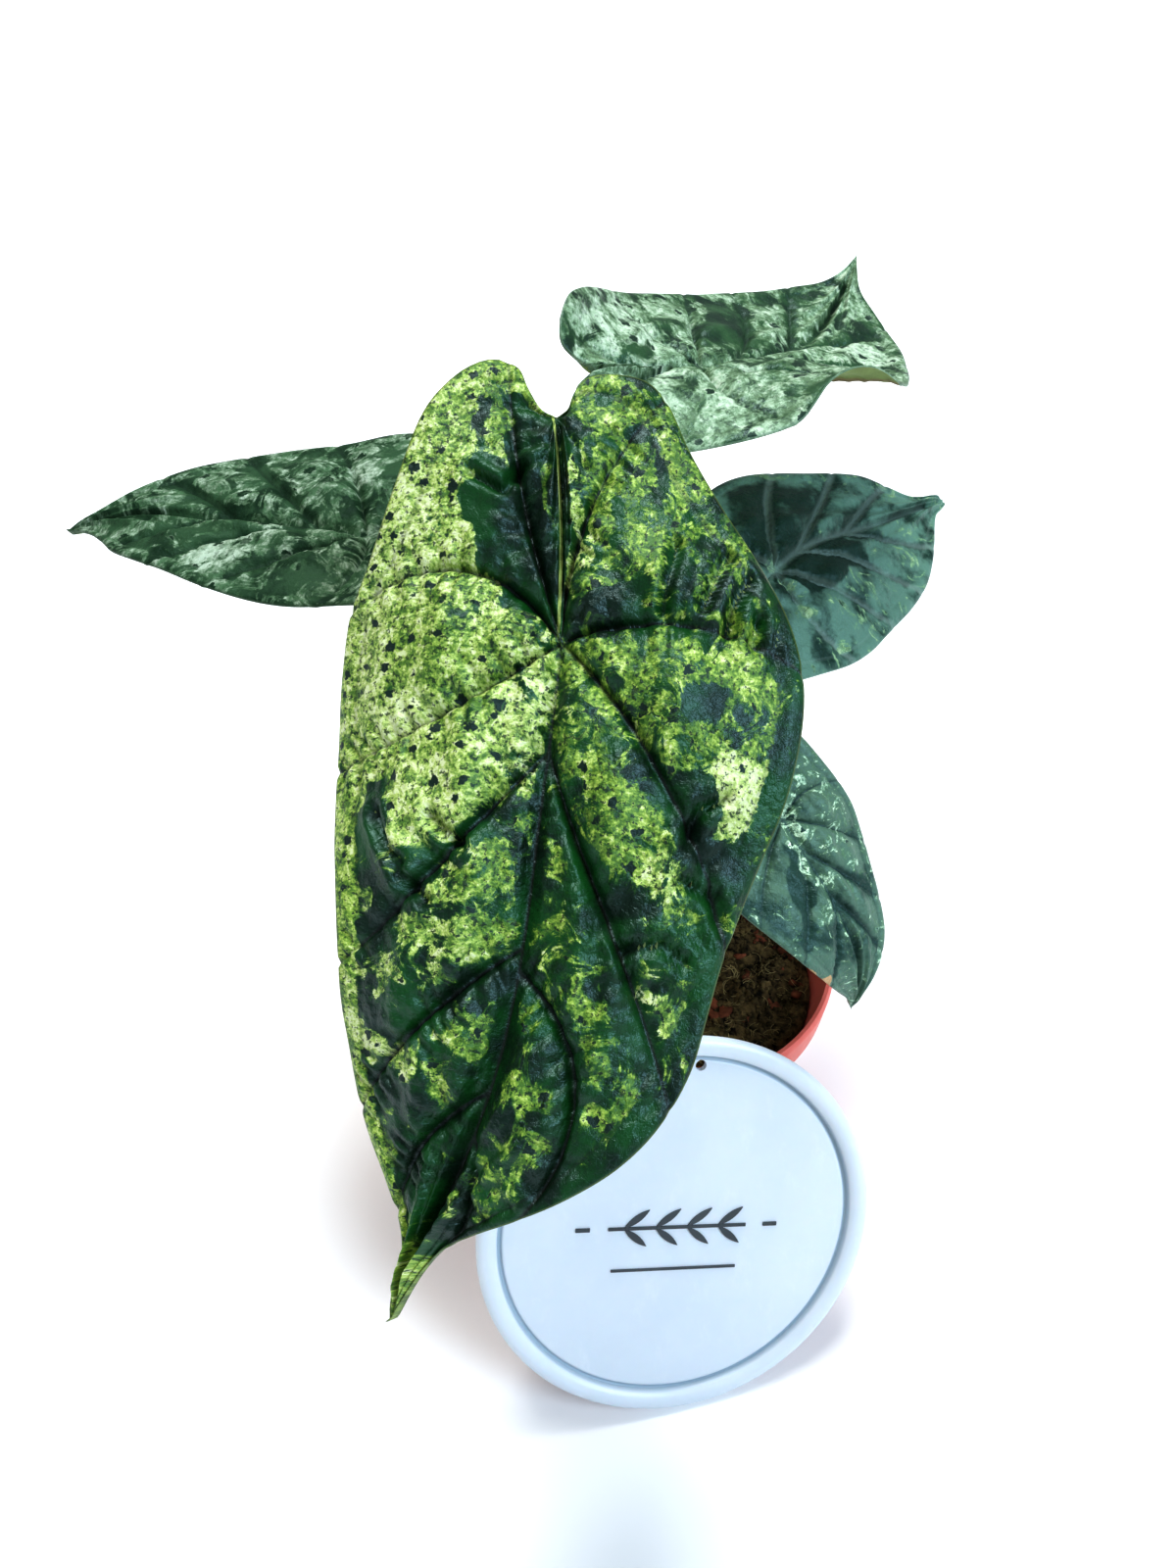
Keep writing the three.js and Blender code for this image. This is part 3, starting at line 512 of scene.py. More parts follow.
def pebbles(x, y, size, seed):
    spots = np.random.RandomState(seed).rand(TABLE_SIZE, TABLE_SIZE, 2)
    u, v = x / size, y / size
    i, j = np.floor(u).astype(int), np.floor(v).astype(int)
    nearest = np.full(x.shape, FAR_AWAY)
    second = np.full(x.shape, FAR_AWAY)
    for di in (-1, 0, 1):
        for dj in (-1, 0, 1):
            spot = spots[(i + di) % TABLE_SIZE, (j + dj) % TABLE_SIZE]
            far = np.hypot(i + di + spot[..., 0] - u, j + dj + spot[..., 1] - v)
            second = np.minimum(second, np.maximum(nearest, far))
            nearest = np.minimum(nearest, far)
    return np.clip((second - nearest) * PEBBLE_STEEPNESS, 0, 1)


def nearest_rib(points, polylines):
    distance = np.full(points.shape[:-1], FAR_AWAY)
    reach = np.zeros(points.shape[:-1])
    for line in polylines:
        walked = 0.0
        for a, b in zip(line, line[1:]):
            step = b - a
            size = math.hypot(*step)
            t = np.clip(((points - a) @ step) / size**2, 0, 1)
            far = np.linalg.norm(points - a - t[..., None] * step, axis=-1)
            closer = far < distance
            distance = np.where(closer, far, distance)
            reach = np.where(closer, walked + t * size, reach)
            walked += size
    return distance, reach


sample = lattice(np.array([4.0, 30.0, 90.0]), np.array([9.0, 9.0, 9.0]), 10, 3)
print("swelling at three places:", np.round(sample, 2).tolist())

# %% [markdown]
# Dragon scale leaves owe their name to the relief: the blade puffs up between sunken veins, it
# puckers in short folds across each vein, and its skin is pebbled. The large quilting is the
# same formula as in the solid. Puckers, grooves, creases and pebbles are too fine for the solid
# and are added here, all as real height on a grid of about a millimetre. Sizes are those of the
# front leaf in mm, and the smaller leaves have them in proportion.

# %% Large relief of a blade
EDGE_BAND = 0.88
QUILT_GAIN = 1.35
RIPPLE = 0.3
RIPPLES_PER_PANEL = 5.5
SUNK_SHARE = 0.3
RIM_HEIGHT = 0.5
STRIP_HEIGHT = 0.9
STRIP_RING = 0.13
STRIP_WIDTH = 0.05
STRIP_FADE = 12


def quilt(leaf, panel, share, ring, along):
    hump = 4 * share * (1 - share)
    inner = np.minimum(ring / EDGE_BAND, 1)
    body = np.sin(np.pi * inner**0.8)
    ripple = RIPPLE * np.sin(RIPPLES_PER_PANEL * np.pi * inner + 1.7 * panel) * body
    sunk = (1 - hump) ** 3 * (1 - inner) ** 0.4 * np.minimum(1, inner * 4)
    height = QUILT_GAIN * leaf["lift"] * (hump**0.6 * body * (1 + ripple) - SUNK_SHARE * sunk)
    rolled = np.sin(np.pi * (np.maximum(ring, EDGE_BAND) - EDGE_BAND) / (1 - EDGE_BAND))
    height = height + RIM_HEIGHT * rolled
    strip = np.clip(-along / STRIP_FADE, 0, 1)
    return height + strip * STRIP_HEIGHT * bell(ring - STRIP_RING, STRIP_WIDTH)


print("height in the middle of a panel, mm:", round(float(quilt(FRONT, 1, 0.5, 0.4, 20)), 2))

# %% Fine relief of a blade
RELIEF_FADE = 3
GROOVE_DEPTH = 1.7
GROOVE_HALF_WIDTH = 0.8
GROOVE_SHALLOW = 0.65
GROOVE_DEEPENS = (10, 45)
MIDRIB_WIDTH = 1.5
MIDRIB_DEPTH = 1.1
LOBE_SEAM_DEPTH = 0.2
PUCKER_HEIGHT = 1.4
PUCKER_SPACING = 5.2
PUCKER_FROM_RIB = 3
PUCKER_REACH = 3.4
PUCKER_UNEVEN = 1.5
MEAN_SINE = 0.64
PEBBLE_SIZE = 3.0
PEBBLE_HEIGHT = 0.5
SWELL_SIZE = 7
SWELL_HEIGHT = 0.9
CREASE_WIDTH = 1.1
CREASE_DEPTH = 2.2
BANK_FROM_CREASE = 2.7
BANK_WIDTH = 1.7
BANK_HEIGHT = 1.3
GROOVE_BEHIND = 0.65
PUCKER_BEHIND = 0.7


def fine_relief(leaf, flat, ring, width, rib, reach):
    x, y = flat[..., 0], flat[..., 1]
    size = leaf["half_width"] / FRONT["half_width"]
    room = np.clip(width * np.minimum(ring, 1 - ring) / RELIEF_FADE, 0, 1)
    beyond = np.clip(np.abs(x) / MIDRIB_WIDTH, 0, 1)
    groove = -GROOVE_DEPTH * size * bell(rib, GROOVE_HALF_WIDTH) * (1 - 0.5 * ring)
    deepening = smoothstep(*GROOVE_DEEPENS, y / size)
    groove = groove * beyond * (GROOVE_SHALLOW + (1 - GROOVE_SHALLOW) * deepening)
    midrib = bell(x, MIDRIB_WIDTH) * np.where(y > 0, -MIDRIB_DEPTH, -LOBE_SEAM_DEPTH) * size
    uneven = PUCKER_UNEVEN * lattice(x, y, 10 * size, 3)
    phase = np.pi * (reach / (PUCKER_SPACING * size) + uneven)
    beside = bell(rib - PUCKER_FROM_RIB * size, PUCKER_REACH * size)
    pucker = PUCKER_HEIGHT * size * beside * (np.abs(np.sin(phase)) - MEAN_SINE)
    grain = PEBBLE_HEIGHT * size * (pebbles(x, y, PEBBLE_SIZE * size, 5) - 0.5)
    grain = grain * (0.6 + lattice(x, y, 14 * size, 8))
    swell = SWELL_HEIGHT * size * lattice(x, y, SWELL_SIZE * size, 21)
    fold = np.zeros_like(x)
    for line in leaf.get("creases", []):
        far, _ = nearest_rib(flat, [np.array(line, float)])
        bank = BANK_HEIGHT * bell(far - BANK_FROM_CREASE, BANK_WIDTH)
        fold += bank - CREASE_DEPTH * bell(far, CREASE_WIDTH)
    if leaf is not FRONT:
        groove, pucker = groove * GROOVE_BEHIND, pucker * PUCKER_BEHIND
    return groove + (pucker + grain + swell + fold) * room + midrib


print("grooves are", GROOVE_DEPTH, "mm deep, with a pucker every", PUCKER_SPACING, "mm")

# %% [markdown]
# The marbling is painted as numbers, not as a picture. Each patch is an ellipse on the flat
# leaf, laid over the ones before it, that says how much of the skin there is without green:
# 0 is all dark, 1 all pale. Cream patches say in the same way how white the pale parts are. The
# ellipses get ragged borders here, and the material later tears them into flecks with noise.
# Patches: across, along, half size across, half size along, turn, amount.

# %% Paint soft patches on a leaf
RAGGED = [(3, 11, 41), (4, 4.5, 43)]
RAGGED_ORIGIN = 300
SOFT_BORDER = (0.75, 1.25)


def painted(base, patches, x, y):
    amount = np.full(x.shape, float(base))
    away = (x + RAGGED_ORIGIN, y + RAGGED_ORIGIN)
    ragged_x, ragged_y = x, y
    for shift, size, seed in RAGGED:
        ragged_x = ragged_x + shift * lattice(*away, size, seed)
        ragged_y = ragged_y + shift * lattice(*away, size, seed + 1)
    for px, py, rx, ry, turn, value in patches:
        c, s = math.cos(math.radians(turn)), math.sin(math.radians(turn))
        u = ((ragged_x - px) * c + (ragged_y - py) * s) / rx
        v = ((ragged_y - py) * c - (ragged_x - px) * s) / ry
        inside = 1 - smoothstep(*SOFT_BORDER, np.hypot(u, v))
        amount = between(amount, value, inside)
    return amount


FRONT["pale"] = (0.3, [
    (-30, -12, 27, 62, 0, 0.95),
    (-16, -57, 9, 9, 0, 0.8),
    (-16.5, -54, 1.6, 4.5, 0, 0.0),
    (-7.5, -46, 2.6, 12, -4, -0.4),
    (-12, -25, 7.4, 20, -15, -0.6),
    (-6, -22, 3, 24, -6, -0.4),
    # Partly pale tissue, partly painted sheen: a mint glint left of the midrib.
    (-6, 18, 6, 20, 0, 0.62),
    (-30, 4, 12, 9, 0, 0.86),
    (-22, 38, 18, 14, 20, 1.0),
    (-38, 41, 4.5, 7, 0, -0.5),
    (-25, 77, 17, 30, 0, 0.2),
    (-35, 56, 5, 12, 0, 0.2),
    # Partly pale tissue, partly painted sheen: mint glint near the midrib.
    (-8, 46, 7, 13, 12, 0.44),
    (-15, 54, 9, 3.5, -10, 0.6),
    (-14, 65, 14, 5.5, 5, 0.9),
    (-31, 76, 6, 4, 40, 0.6),
    (-15, 73, 7, 3, 30, 0.62),
    (-27, 75, 6, 4, 0, 0.55),
    (-10.5, 83.5, 8, 3.2, -35, 0.84),
    (-24, 88, 5, 3, 0, -0.2),
    (-27, 94, 8, 4.5, 10, 0.95),
    (-17, 95, 2, 6, 0, 0.8),
    (-11.5, 103, 2, 5, 20, 0.76),
    (-8, 84, 7, 4, 35, 0.62),
    (-8, 98, 7, 2.4, 40, 0.66),
    (-12, 108, 6, 8, 0, 0.14),
    (-6, 116, 5, 9, 0, 0.0),
    (-17, 119, 5, 3, -30, 0.75),
    (1, -30, 4, 24, 0, 0.1),
    # Partly pale tissue, partly painted sheen: a silvery band right of the midrib above the joint.
    (3.4, -26, 1.3, 18, 0, 0.6),
    (14, -54, 11, 10, 0, 0.68),
    (13.5, -57, 2.6, 2.4, 0, -0.2),
    (17, -28, 13, 24, 8, 0.66),
    (27, -33, 6, 16, -20, 0.5),
    (20, -34, 1.8, 6, 0, -0.1),
    (16, -45, 2.4, 2.6, 0, -0.1),
    (11, -27, 1.4, 4, 0, -0.2),
    (27, -35, 2, 1.8, 0, -0.2),
    (13, -8, 4.5, 3.6, 0, -0.4),
    (21, -7, 3, 4, 0, 0.6),
    (26, -12, 4, 6, -10, 0.2),
    (33, -12, 6, 8, 30, 0.36),
    (38, -4, 6, 4, 0, 0.44),
    (8, 8, 7, 10, -20, 0.6),
    (24, 8, 15, 9, 0, 0.74),
    (13, 8, 2.6, 2, 0, -0.1),
    (38, 5, 7, 7, 0, 0.86),
    (33, 11, 4.4, 3, 0, -0.4),
    (29, 20, 10, 6, 0, 0.66),
    (22, 26, 4, 4, 0, 0.1),
    (40, 28, 7, 8, 15, 1.15),
    (33, 31, 2.8, 6, 0, -0.5),
    (44, 12, 3, 9, 0, 0.5),
    # Partly painted shade: this panel is kept greener, as it faces away from the light.
    (11, 28, 9, 14, -20, 0.6),
    (18, 40, 8, 10, -25, 0.7),
    (26, 44, 5, 7, -30, 0.6),
    (30, 36, 3, 8, -12, 0.0),
    (5, 52, 4, 9, 0, 0.56),
    (22, 46, 3.4, 6, -25, 0.9),
    (20, 56, 4, 7, -20, 0.1),
    (12, 71, 7, 5, 0, 0.6),
    (28, 73, 2.6, 8, -35, 0.8),
    (32, 56, 4, 9, 0, 0.3),
    (10, 66, 4, 7, 0, 0.3),
    (7, 77, 4, 6, -20, 0.62),
    (30, 76, 4.5, 4, -30, 0.72),
    (18, 82, 6, 7, 0, 0.5),
    (25, 88, 5, 5, 0, 0.55),
    (9, 92, 6, 3.4, 0, 0.62),
    (9, 103, 5, 4, 0, 0.4),
    (16, 99, 4, 4, 0, 0.74),
    (7, 116, 6, 6, 0, 0.76),
    (0, 146, 8, 15, 0, 1.5),
])
FRONT["cream"] = (0.1, [
    (-30, -5, 27, 62, 0, 0.42),
    (-36, -28, 8, 18, 10, 0.66),
    (-22, -22, 5, 12, 0, 0.5),
    # Partly cream tissue, partly painted sheen: the silvery band right of the midrib.
    (3.4, -26, 1.8, 17, 0, 0.7),
    (-28, 4, 13, 8, 0, 0.28),
    (-44, 2, 5, 20, 0, 0.62),
    (-34, 20, 6, 6, 0, 0.9),
    (-24, 40, 12, 10, 0, 0.6),
    # Partly cream tissue, partly painted sheen: the mint glint left of the midrib.
    (-5, 14, 5, 18, 0, 0.7),
    (-25, 77, 14, 30, 0, 0.45),
    (14, -28, 10, 16, 0, 0.1),
    (24, 12, 18, 12, 0, 0.0),
    (14, 36, 12, 14, 0, 0.0),
    (34, 10, 8, 8, 0, 0.12),
    (40, 28, 7, 8, 15, 1.2),
    (26, 48, 4, 8, 0, 0.6),
    (16, 88, 16, 20, 0, -0.05),
    (28, 74, 5, 8, 0, 0.5),
    (-30, 91, 8, 5, 0, 0.6),
])
FRONT["pale_edge"] = {"left": (0.95, 0.9), "right": (0.62, 0.1)}
FRONT["pale_tip"] = 1.3

BACK["pale"] = (0.55, [
    (-12, -22, 24, 20, 0, 0.72),
    (15, -25, 14, 24, 0, 0.66),
    (28, -5, 10, 26, 0, 0.62),
    (3, -22, 4, 10, 0, 0.3),
    (16, 30, 8, 26, -20, 0.16),
    (26, 44, 5, 14, -14, 0.2),
    (15, 58, 3.5, 9, -14, 0.66),
    (-20, 28, 9, 22, 20, 0.5),
    (-22, 60, 10, 9, 0, 0.95),
    (0, 76, 5, 24, 0, 0.66),
    (-14, 78, 6, 9, 30, 0.3),
    (14, 82, 7, 16, 20, 0.14),
])
BACK["cream"] = (0.4, [
    (-20, 58, 10, 10, 0, 1.0), (20, -25, 14, 20, 0, 0.8), (0, -20, 10, 8, 0, 0.8),
])
BACK["pale_edge"] = {"left": (0.5, 0.5), "right": (0.45, 0.45)}
BACK["pale_tip"] = 0.9

LEFT["pale"] = (0.42, [
    (8, 20, 12, 12, 0, 0.62),
    (18, 34, 8, 10, 0, 0.74),
    (8, 42, 6, 8, 0, 0.6),
    (-24, 12, 6, 7, 0, 0.66),
    (-12, 24, 7, 7, 0, 0.52),
    (-14, 62, 9, 12, 0, 0.56),
    (-26, 36, 7, 10, 0, 0.46),
    (-5, 70, 6, 8, 0, 0.42),
    (18, 62, 9, 12, 0, 0.1),
    (24, 14, 6, 10, 0, 0.4),
])
LEFT["cream"] = (0.35, [(18, 34, 8, 10, 0, 0.9), (6, 24, 6, 6, 0, 0.7), (-24, 12, 6, 6, 0, 0.8)])
LEFT["pale_edge"] = {"left": (0.4, 0.4), "right": (0.35, 0.35)}
LEFT["pale_tip"] = 0.4

RIGHT["pale"] = (0.08, [
    (-23, 24, 10, 26, 0, 0.22),
    (-7, 14, 8, 22, 0, -0.8),
    (15, 14, 16, 14, 20, -0.4),
    (10, 40, 10, 14, 0, -0.1),
    (-32, -3, 3, 4, 0, 0.62),
    (-9, -1, 5, 3, 0, 0.5),
    (-15, -6, 3, 3, 0, 0.45),
    (-14, 64, 8, 12, -20, 0.3),
    (12, 70, 8, 8, 0, 0.24),
])
RIGHT["cream"] = (0.2, [])
RIGHT["pale_edge"] = {"left": (0.15, 0.15), "right": (0.1, 0.1)}
RIGHT["pale_tip"] = 0.2

LOW["pale"] = (0.14, [
    (15, 5, 7, 20, 0, 0.34),
    (-22, 18, 7, 16, 0, 0.05),
    (-10, 21, 3.6, 12, 25, -0.7),
    (4, -4, 4, 8, 30, 0.44),
    (6, 10, 3, 8, -20, 0.44),
    (-3, 14, 2, 6, 0, 0.54),
    (-8, 27, 4, 4, 0, 0.46),
    (2, 21, 3, 2, 0, 0.6),
    (-1, 33, 2, 3, 0, 0.52),
    (8, 43, 3, 4, 0, 0.44),
    (-3, 58, 8, 8, 0, 0.32),
])
LOW["cream"] = (0.5, [(0, 12, 6, 20, 0, 0.9)])
LOW["scar"] = [(-16.5, 44.5, 6.5, 2.2, 45, 0.95)]
LOW["pale_edge"] = {"left": (0.15, 0.15), "right": (0.25, 0.25)}
LOW["pale_tip"] = 0.3
print("patches on the front leaf:", len(FRONT["pale"][1]))

# %% [markdown]
# Each half blade is a grid of rows and rings, closer together at the midrib, where the groove
# is narrow. The underside is the same grid, let down by the blade's thickness, which is more
# under ribs. Points that fall together, on the midrib and at the stalk, are merged, so the skin
# is one closed surface. The flat place of each point is kept as its UV, and the distances to
# the nearest rib and to the edge as attributes, for the materials to read.

# %% Half a blade
RING_CROWDING = 1.18
RIB_POINTS = 25
EDGE_STRIDE = 6
QUILT_STARTS = 4
WAVE_CENTRE = 14
WAVE_REACH = 26
WAVE_START = 8
WAVE_LENGTH = 56
RIB_THICKENS = 0.8
RIB_HALF_WIDTH = 1.3
MIDRIB_THICKENS = 1.2
MIDRIB_HALF_WIDTH = 2
POLE_THICKNESS = 0.8
VALLEY_SHADE_AMOUNT = 0.6
VALLEY_SHADE_REACH = 3
VALLEY_SHADE_STARTS = (15, 50)
EDGE_TURNS_GREEN = (-30, -8)
TIP_STARTS = (0.84, 0.93)
NO_MIDRIB_LINE = 9.0
MARKS = ("rib", "edge", "pale", "cream", "band", "scar")


def half_flat(leaf, side):
    rows, line, length, ribs = blade_rows(leaf, side)
    ring = np.linspace(0, 1, leaf["rings"]) ** RING_CROWDING
    spread = np.ones((len(rows), len(ring)))
    ring = ring[None, :] * spread
    start, end, bow, share, panel = (column[:, None] for column in rows.T)
    flat = along_row(start * spread, end * spread, bow * spread, ring, line, length, side)
    same, share_of_rib = np.ones(RIB_POINTS), np.linspace(0, 1, RIB_POINTS)
    lines = [
        along_row(a * same, b * same, c * same, share_of_rib, line, length, side)
        for a, b, c, _ in ribs
    ]
    rib, reach = nearest_rib(flat, lines)
    edge = nearest_rib(flat, [line[::EDGE_STRIDE]])[0]
    width = np.linalg.norm(flat[:, -1] - flat[:, 0], axis=-1)[:, None]
    height = quilt(leaf, panel, share, ring, start) * np.clip(ring * width / QUILT_STARTS, 0, 1)
    height = height + fine_relief(leaf, flat, ring, width, rib, reach)
    pole = ((end == 0) | (end == 1)) * spread
    return flat, ring, width, rib, edge, height, pole


def colour_marks(leaf, side, flat, ring, width, rib, edge):
    x, y = flat[..., 0], flat[..., 1]
    size = leaf["half_width"] / FRONT["half_width"]
    tip = leaf[side][-1][1]
    near_tip = smoothstep(tip * TIP_STARTS[0], tip * TIP_STARTS[1], y)
    # Painted shade: beside the ribs and the midrib, in the lower half of the leaf, the pale amount is
    # lowered so the vein valleys turn dark green, as if shaded.
    beside = bell(np.minimum(rib, np.abs(x) + 1), VALLEY_SHADE_REACH * size)
    pale = painted(*leaf["pale"], x, y)
    pale = pale - VALLEY_SHADE_AMOUNT * beside * smoothstep(*VALLEY_SHADE_STARTS, y / size)
    rim = smoothstep(EDGE_BAND - 0.01, EDGE_BAND + 0.02, ring)
    pale_rim = between(*leaf["pale_edge"][side], smoothstep(*EDGE_TURNS_GREEN, y / size))
    pale = between(pale, pale_rim, rim)
    return {
        "rib": np.minimum(rib, np.where(y < 0, NO_MIDRIB_LINE, np.abs(x) + 4 * near_tip)),
        "edge": edge,
        "pale": between(pale, leaf["pale_tip"], near_tip),
        "cream": painted(*leaf["cream"], x, y),
        "band": np.abs(ring - EDGE_BAND) * width + 5 * near_tip,
        "scar": painted(0, leaf.get("scar", []), x, y),
    }


def half_blade(leaf, side, frames):
    flat, ring, width, rib, edge, height, pole = half_flat(leaf, side)
    x, y = flat[..., 0], flat[..., 1]
    if side == "left":
        curl = np.sin(2 * np.pi * (y - WAVE_START) / WAVE_LENGTH)
        height = height + leaf["wave"] * ring**4 * curl * bell(y - WAVE_CENTRE, WAVE_REACH)
    height = np.where(pole > 0, 0, height)
    thick = leaf["thickness"] * (0.9 - 0.4 * ring)
    beyond = np.clip(np.abs(x) / MIDRIB_WIDTH, 0, 1)
    thick = thick + RIB_THICKENS * bell(rib, RIB_HALF_WIDTH) * (1 - ring) * beyond
    thick = thick + MIDRIB_THICKENS * bell(x, MIDRIB_HALF_WIDTH)
    thick = np.where(pole > 0, leaf["thickness"] * POLE_THICKNESS, thick)
    top = bend(leaf, frames, side, x, y, height)
    under = bend(leaf, frames, side, x, y, height - thick)
    return top, under, flat, colour_marks(leaf, side, flat, ring, width, rib, edge)


print("points of the front leaf's left half, one side:", half_flat(FRONT, "left")[1].size)

# %% Close the halves into a blade
UV_SPAN = 250.0
UV_START = (0.5, 0.35)
WELD = 0.01


def grid_faces(rows, columns, first, flipped):
    i, j = np.meshgrid(np.arange(rows - 1), np.arange(columns - 1), indexing="ij")
    a = first + i * columns + j
    faces = np.stack([a, a + columns, a + columns + 1, a + 1], axis=-1).reshape(-1, 4)
    return faces[:, ::-1] if flipped else faces


def wall_faces(rows, columns, top, under, flipped):
    i = np.arange(rows - 1) * columns + columns - 1
    faces = np.stack([top + i, top + i + columns, under + i + columns, under + i], axis=-1)
    return faces[:, ::-1] if flipped else faces


def blade(leaf, materials):
    frames = spine(leaf)
    places, flats, faces, looks = [], [], [], []
    table = {name: [] for name in MARKS}
    count = 0
    for side in ("left", "right"):
        top, under, flat, values = half_blade(leaf, side, frames)
        rows, columns = top.shape[:2]
        second = count + rows * columns
        flipped = side == "left"
        sheets = [
            (grid_faces(rows, columns, count, flipped), 0),
            (grid_faces(rows, columns, second, not flipped), 1),
            (wall_faces(rows, columns, count, second, flipped), 0),
        ]
        for sheet, look in sheets:
            faces.append(sheet)
            looks.append(np.full(len(sheet), look))
        places += [top.reshape(-1, 3), under.reshape(-1, 3)]
        flats += [flat.reshape(-1, 2)] * 2
        for name in table:
            table[name] += [values[name].reshape(-1)] * 2
        count = second + rows * columns
    places = np.vstack(places) * MM
    rounded_places = np.round(places / (WELD * MM)).astype(np.int64)
    _, first, inverse = np.unique(rounded_places, axis=0, return_index=True, return_inverse=True)
    faces = inverse.reshape(-1)[np.vstack(faces)]
    looks = np.concatenate(looks)
    flats = np.vstack(flats)[first]
    corners, kept = [], []
    for face, look in zip(faces.tolist(), looks.tolist()):
        distinct = list(dict.fromkeys(face))
        if len(distinct) > 2:
            corners.append(distinct)
            kept.append(look)
    piece = piece_from("blade_" + leaf["name"], places[first].tolist(), corners, materials)
    mesh = piece.data
    mesh.polygons.foreach_set("material_index", kept)
    owner = np.empty(len(mesh.loops), int)
    mesh.loops.foreach_get("vertex_index", owner)
    uv = flats[owner] / UV_SPAN + np.array(UV_START)
    mesh.uv_layers.new(name="flat").data.foreach_set("uv", uv.reshape(-1))
    for name, parts in table.items():
        layer = mesh.attributes.new(name, "FLOAT", "POINT")
        layer.data.foreach_set("value", np.concatenate(parts)[first].astype(np.float32))
    print(piece.name, len(mesh.polygons), "faces")
    return piece


# %% [markdown]
# Leaf skin is a waxy film over green tissue. Where the tissue has no green it shows lime to
# cream. The finish could be an image, but noise keeps it sharp at any distance. It starts from
# the painted amount, tears its border with fractal noise from some millimetres down to a tenth
# of one, and drops small dark islands into the pale parts. Veins and the rolled edge come from
# the attributes. Wax gives a soft gloss with a slight blue tint: roughness is near 0.4, and the
# IOR goes from 1.45, usual for a leaf, up to 1.62 on the glossy front leaf and down on the
# leaves that stand in shade. The colours of each leaf are ten shades, from deep green to cream.

# %% Leaf skin colours
SHADES = ("deep", "green", "moss", "olive", "leaf", "lime", "bright", "cream", "vein", "margin")
PALE_STOPS = ((0.2, "olive"), (0.42, "leaf"), (0.62, "lime"), (0.8, "bright"))
DRY_SCAR = linear("c49f74")
WAX_GLINT = linear("c4e6ec")
PALE_DULLER = 0.14
STRIPE_BESIDE_MIDRIB = 0.8
STRIPE_HALF_WIDTH = 0.32
SMOOTH = {"interpolation_type": "SMOOTHSTEP"}
VORONOI = "ShaderNodeTexVoronoi"


def shades(hex_colours):
    return dict(zip(SHADES, map(linear, hex_colours.split())))


LIME = shades("031d09 0e4715 30601c 4c7022 789839 9eb851 bccd78 d4deb2 14130b 66743c")
MINT = shades("203828 385b3a 507248 647e5e 82a07f 9bb598 a8bfa4 c4d4c0 26402f 7c957c")
SHADE = shades("1a3521 38573c 4a6b4a 537355 70886f 889f88 9cb09b b2c4b2 142a1b 4a5f4a")
TEAL = shades("1d3a30 64887a 6f9678 7ca07a 94b58a a8c49a accb9f c2dcb4 a2b8b0 8aa597")
BLUE_GREEN = shades("29463e 587666 53784e 658873 82a591 9cbca4 b8d8bc d8eed6 223b38 6d8474")
print("shades of the front leaf:", list(LIME))


# %% Patterns of the leaf skin
def flat_place(tree):
    flat = add(tree, "ShaderNodeUVMap", out=0, uv_map="flat")
    return add(tree, VECTOR_MATH, {0: flat, 3: UV_SPAN}, 0, operation="SCALE")


def leaf_noises(tree, place, tear_mm, fleck_mm):
    """Noises by use, of a size in mm; the first five are then centred on nought."""
    sizes = {
        "tear": (tear_mm, 8, 0.68, 0.9), "fray": (fleck_mm * 2.2, 4, 0.65, 0),
        "tone": (tear_mm * 0.55, 8, 0.8, 0.3), "grain": (fleck_mm, 3, 0.6, 0),
        "scab": (2, 5, 0.7, 0), "cloud": (14, 5, 0.6, 0), "dots": (fleck_mm * 1.3, 4, 0.7, 0),
        "calm": (13, 3, 0.5, 0), "fine": (1.1, 3, 0.55, 0),
    }
    noise = {}
    for use, (size_mm, detail, roughness, distortion) in sizes.items():
        noise[use] = add(tree, NOISE, {
            "Vector": place, "Scale": 1 / size_mm, "Detail": detail, "Roughness": roughness,
            "Distortion": distortion,
        }, 0, noise_dimensions="2D")
    for use in list(sizes)[:5]:
        noise[use] = add(tree, MAP_RANGE, {0: noise[use], 1: 0.2, 2: 0.8, 3: -0.5, 4: 0.5}, 0)
    return noise


def weighed_sum(tree, start, parts):
    """Adds patterns up, each times its weight."""
    for pattern, weight in parts:
        inputs = {0: pattern, 1: weight, 2: start}
        start = add(tree, MATH, inputs, 0, operation="MULTIPLY_ADD")
    return start


def painted_over(tree, colour, coats):
    """Lays coats over a colour, each where its mask shows it."""
    for mask, coat in coats:
        colour = add(tree, MIX, {0: mask, 6: colour, 7: coat}, 2, data_type="RGBA")
    return colour


def dark_islands(tree, place, islands_mm):
    """Green spots of random sizes in pale skin, and the wavy place that they lie on."""
    wander = add(tree, NOISE, {"Vector": place, "Scale": 0.7, "Detail": 2}, 1, noise_dimensions="2D")
    inputs = {0: wander, 1: (2.2, 2.2, 0), 2: place}
    wavy = add(tree, VECTOR_MATH, inputs, 0, operation="MULTIPLY_ADD")
    cell = add(tree, VORONOI, {"Vector": wavy, "Scale": 1 / islands_mm}, voronoi_dimensions="2D")
    chance = add(tree, "ShaderNodeSeparateColor", {0: cell.outputs["Color"]})
    reach = add(tree, MAP_RANGE, {0: chance.outputs[1], 3: 0.06, 4: 0.21}, 0)
    near = add(tree, MATH, {0: reach, 1: cell.outputs["Distance"]}, 0, operation="SUBTRACT")
    near = add(tree, MAP_RANGE, {0: near, 1: -0.01, 2: 0.02}, 0, **SMOOTH)
    chosen = add(tree, MAP_RANGE, {0: chance.outputs[0], 1: 0.3, 2: 0.32}, 0, **SMOOTH)
    return wavy, add(tree, MATH, {0: near, 1: chosen}, 0, operation="MULTIPLY")


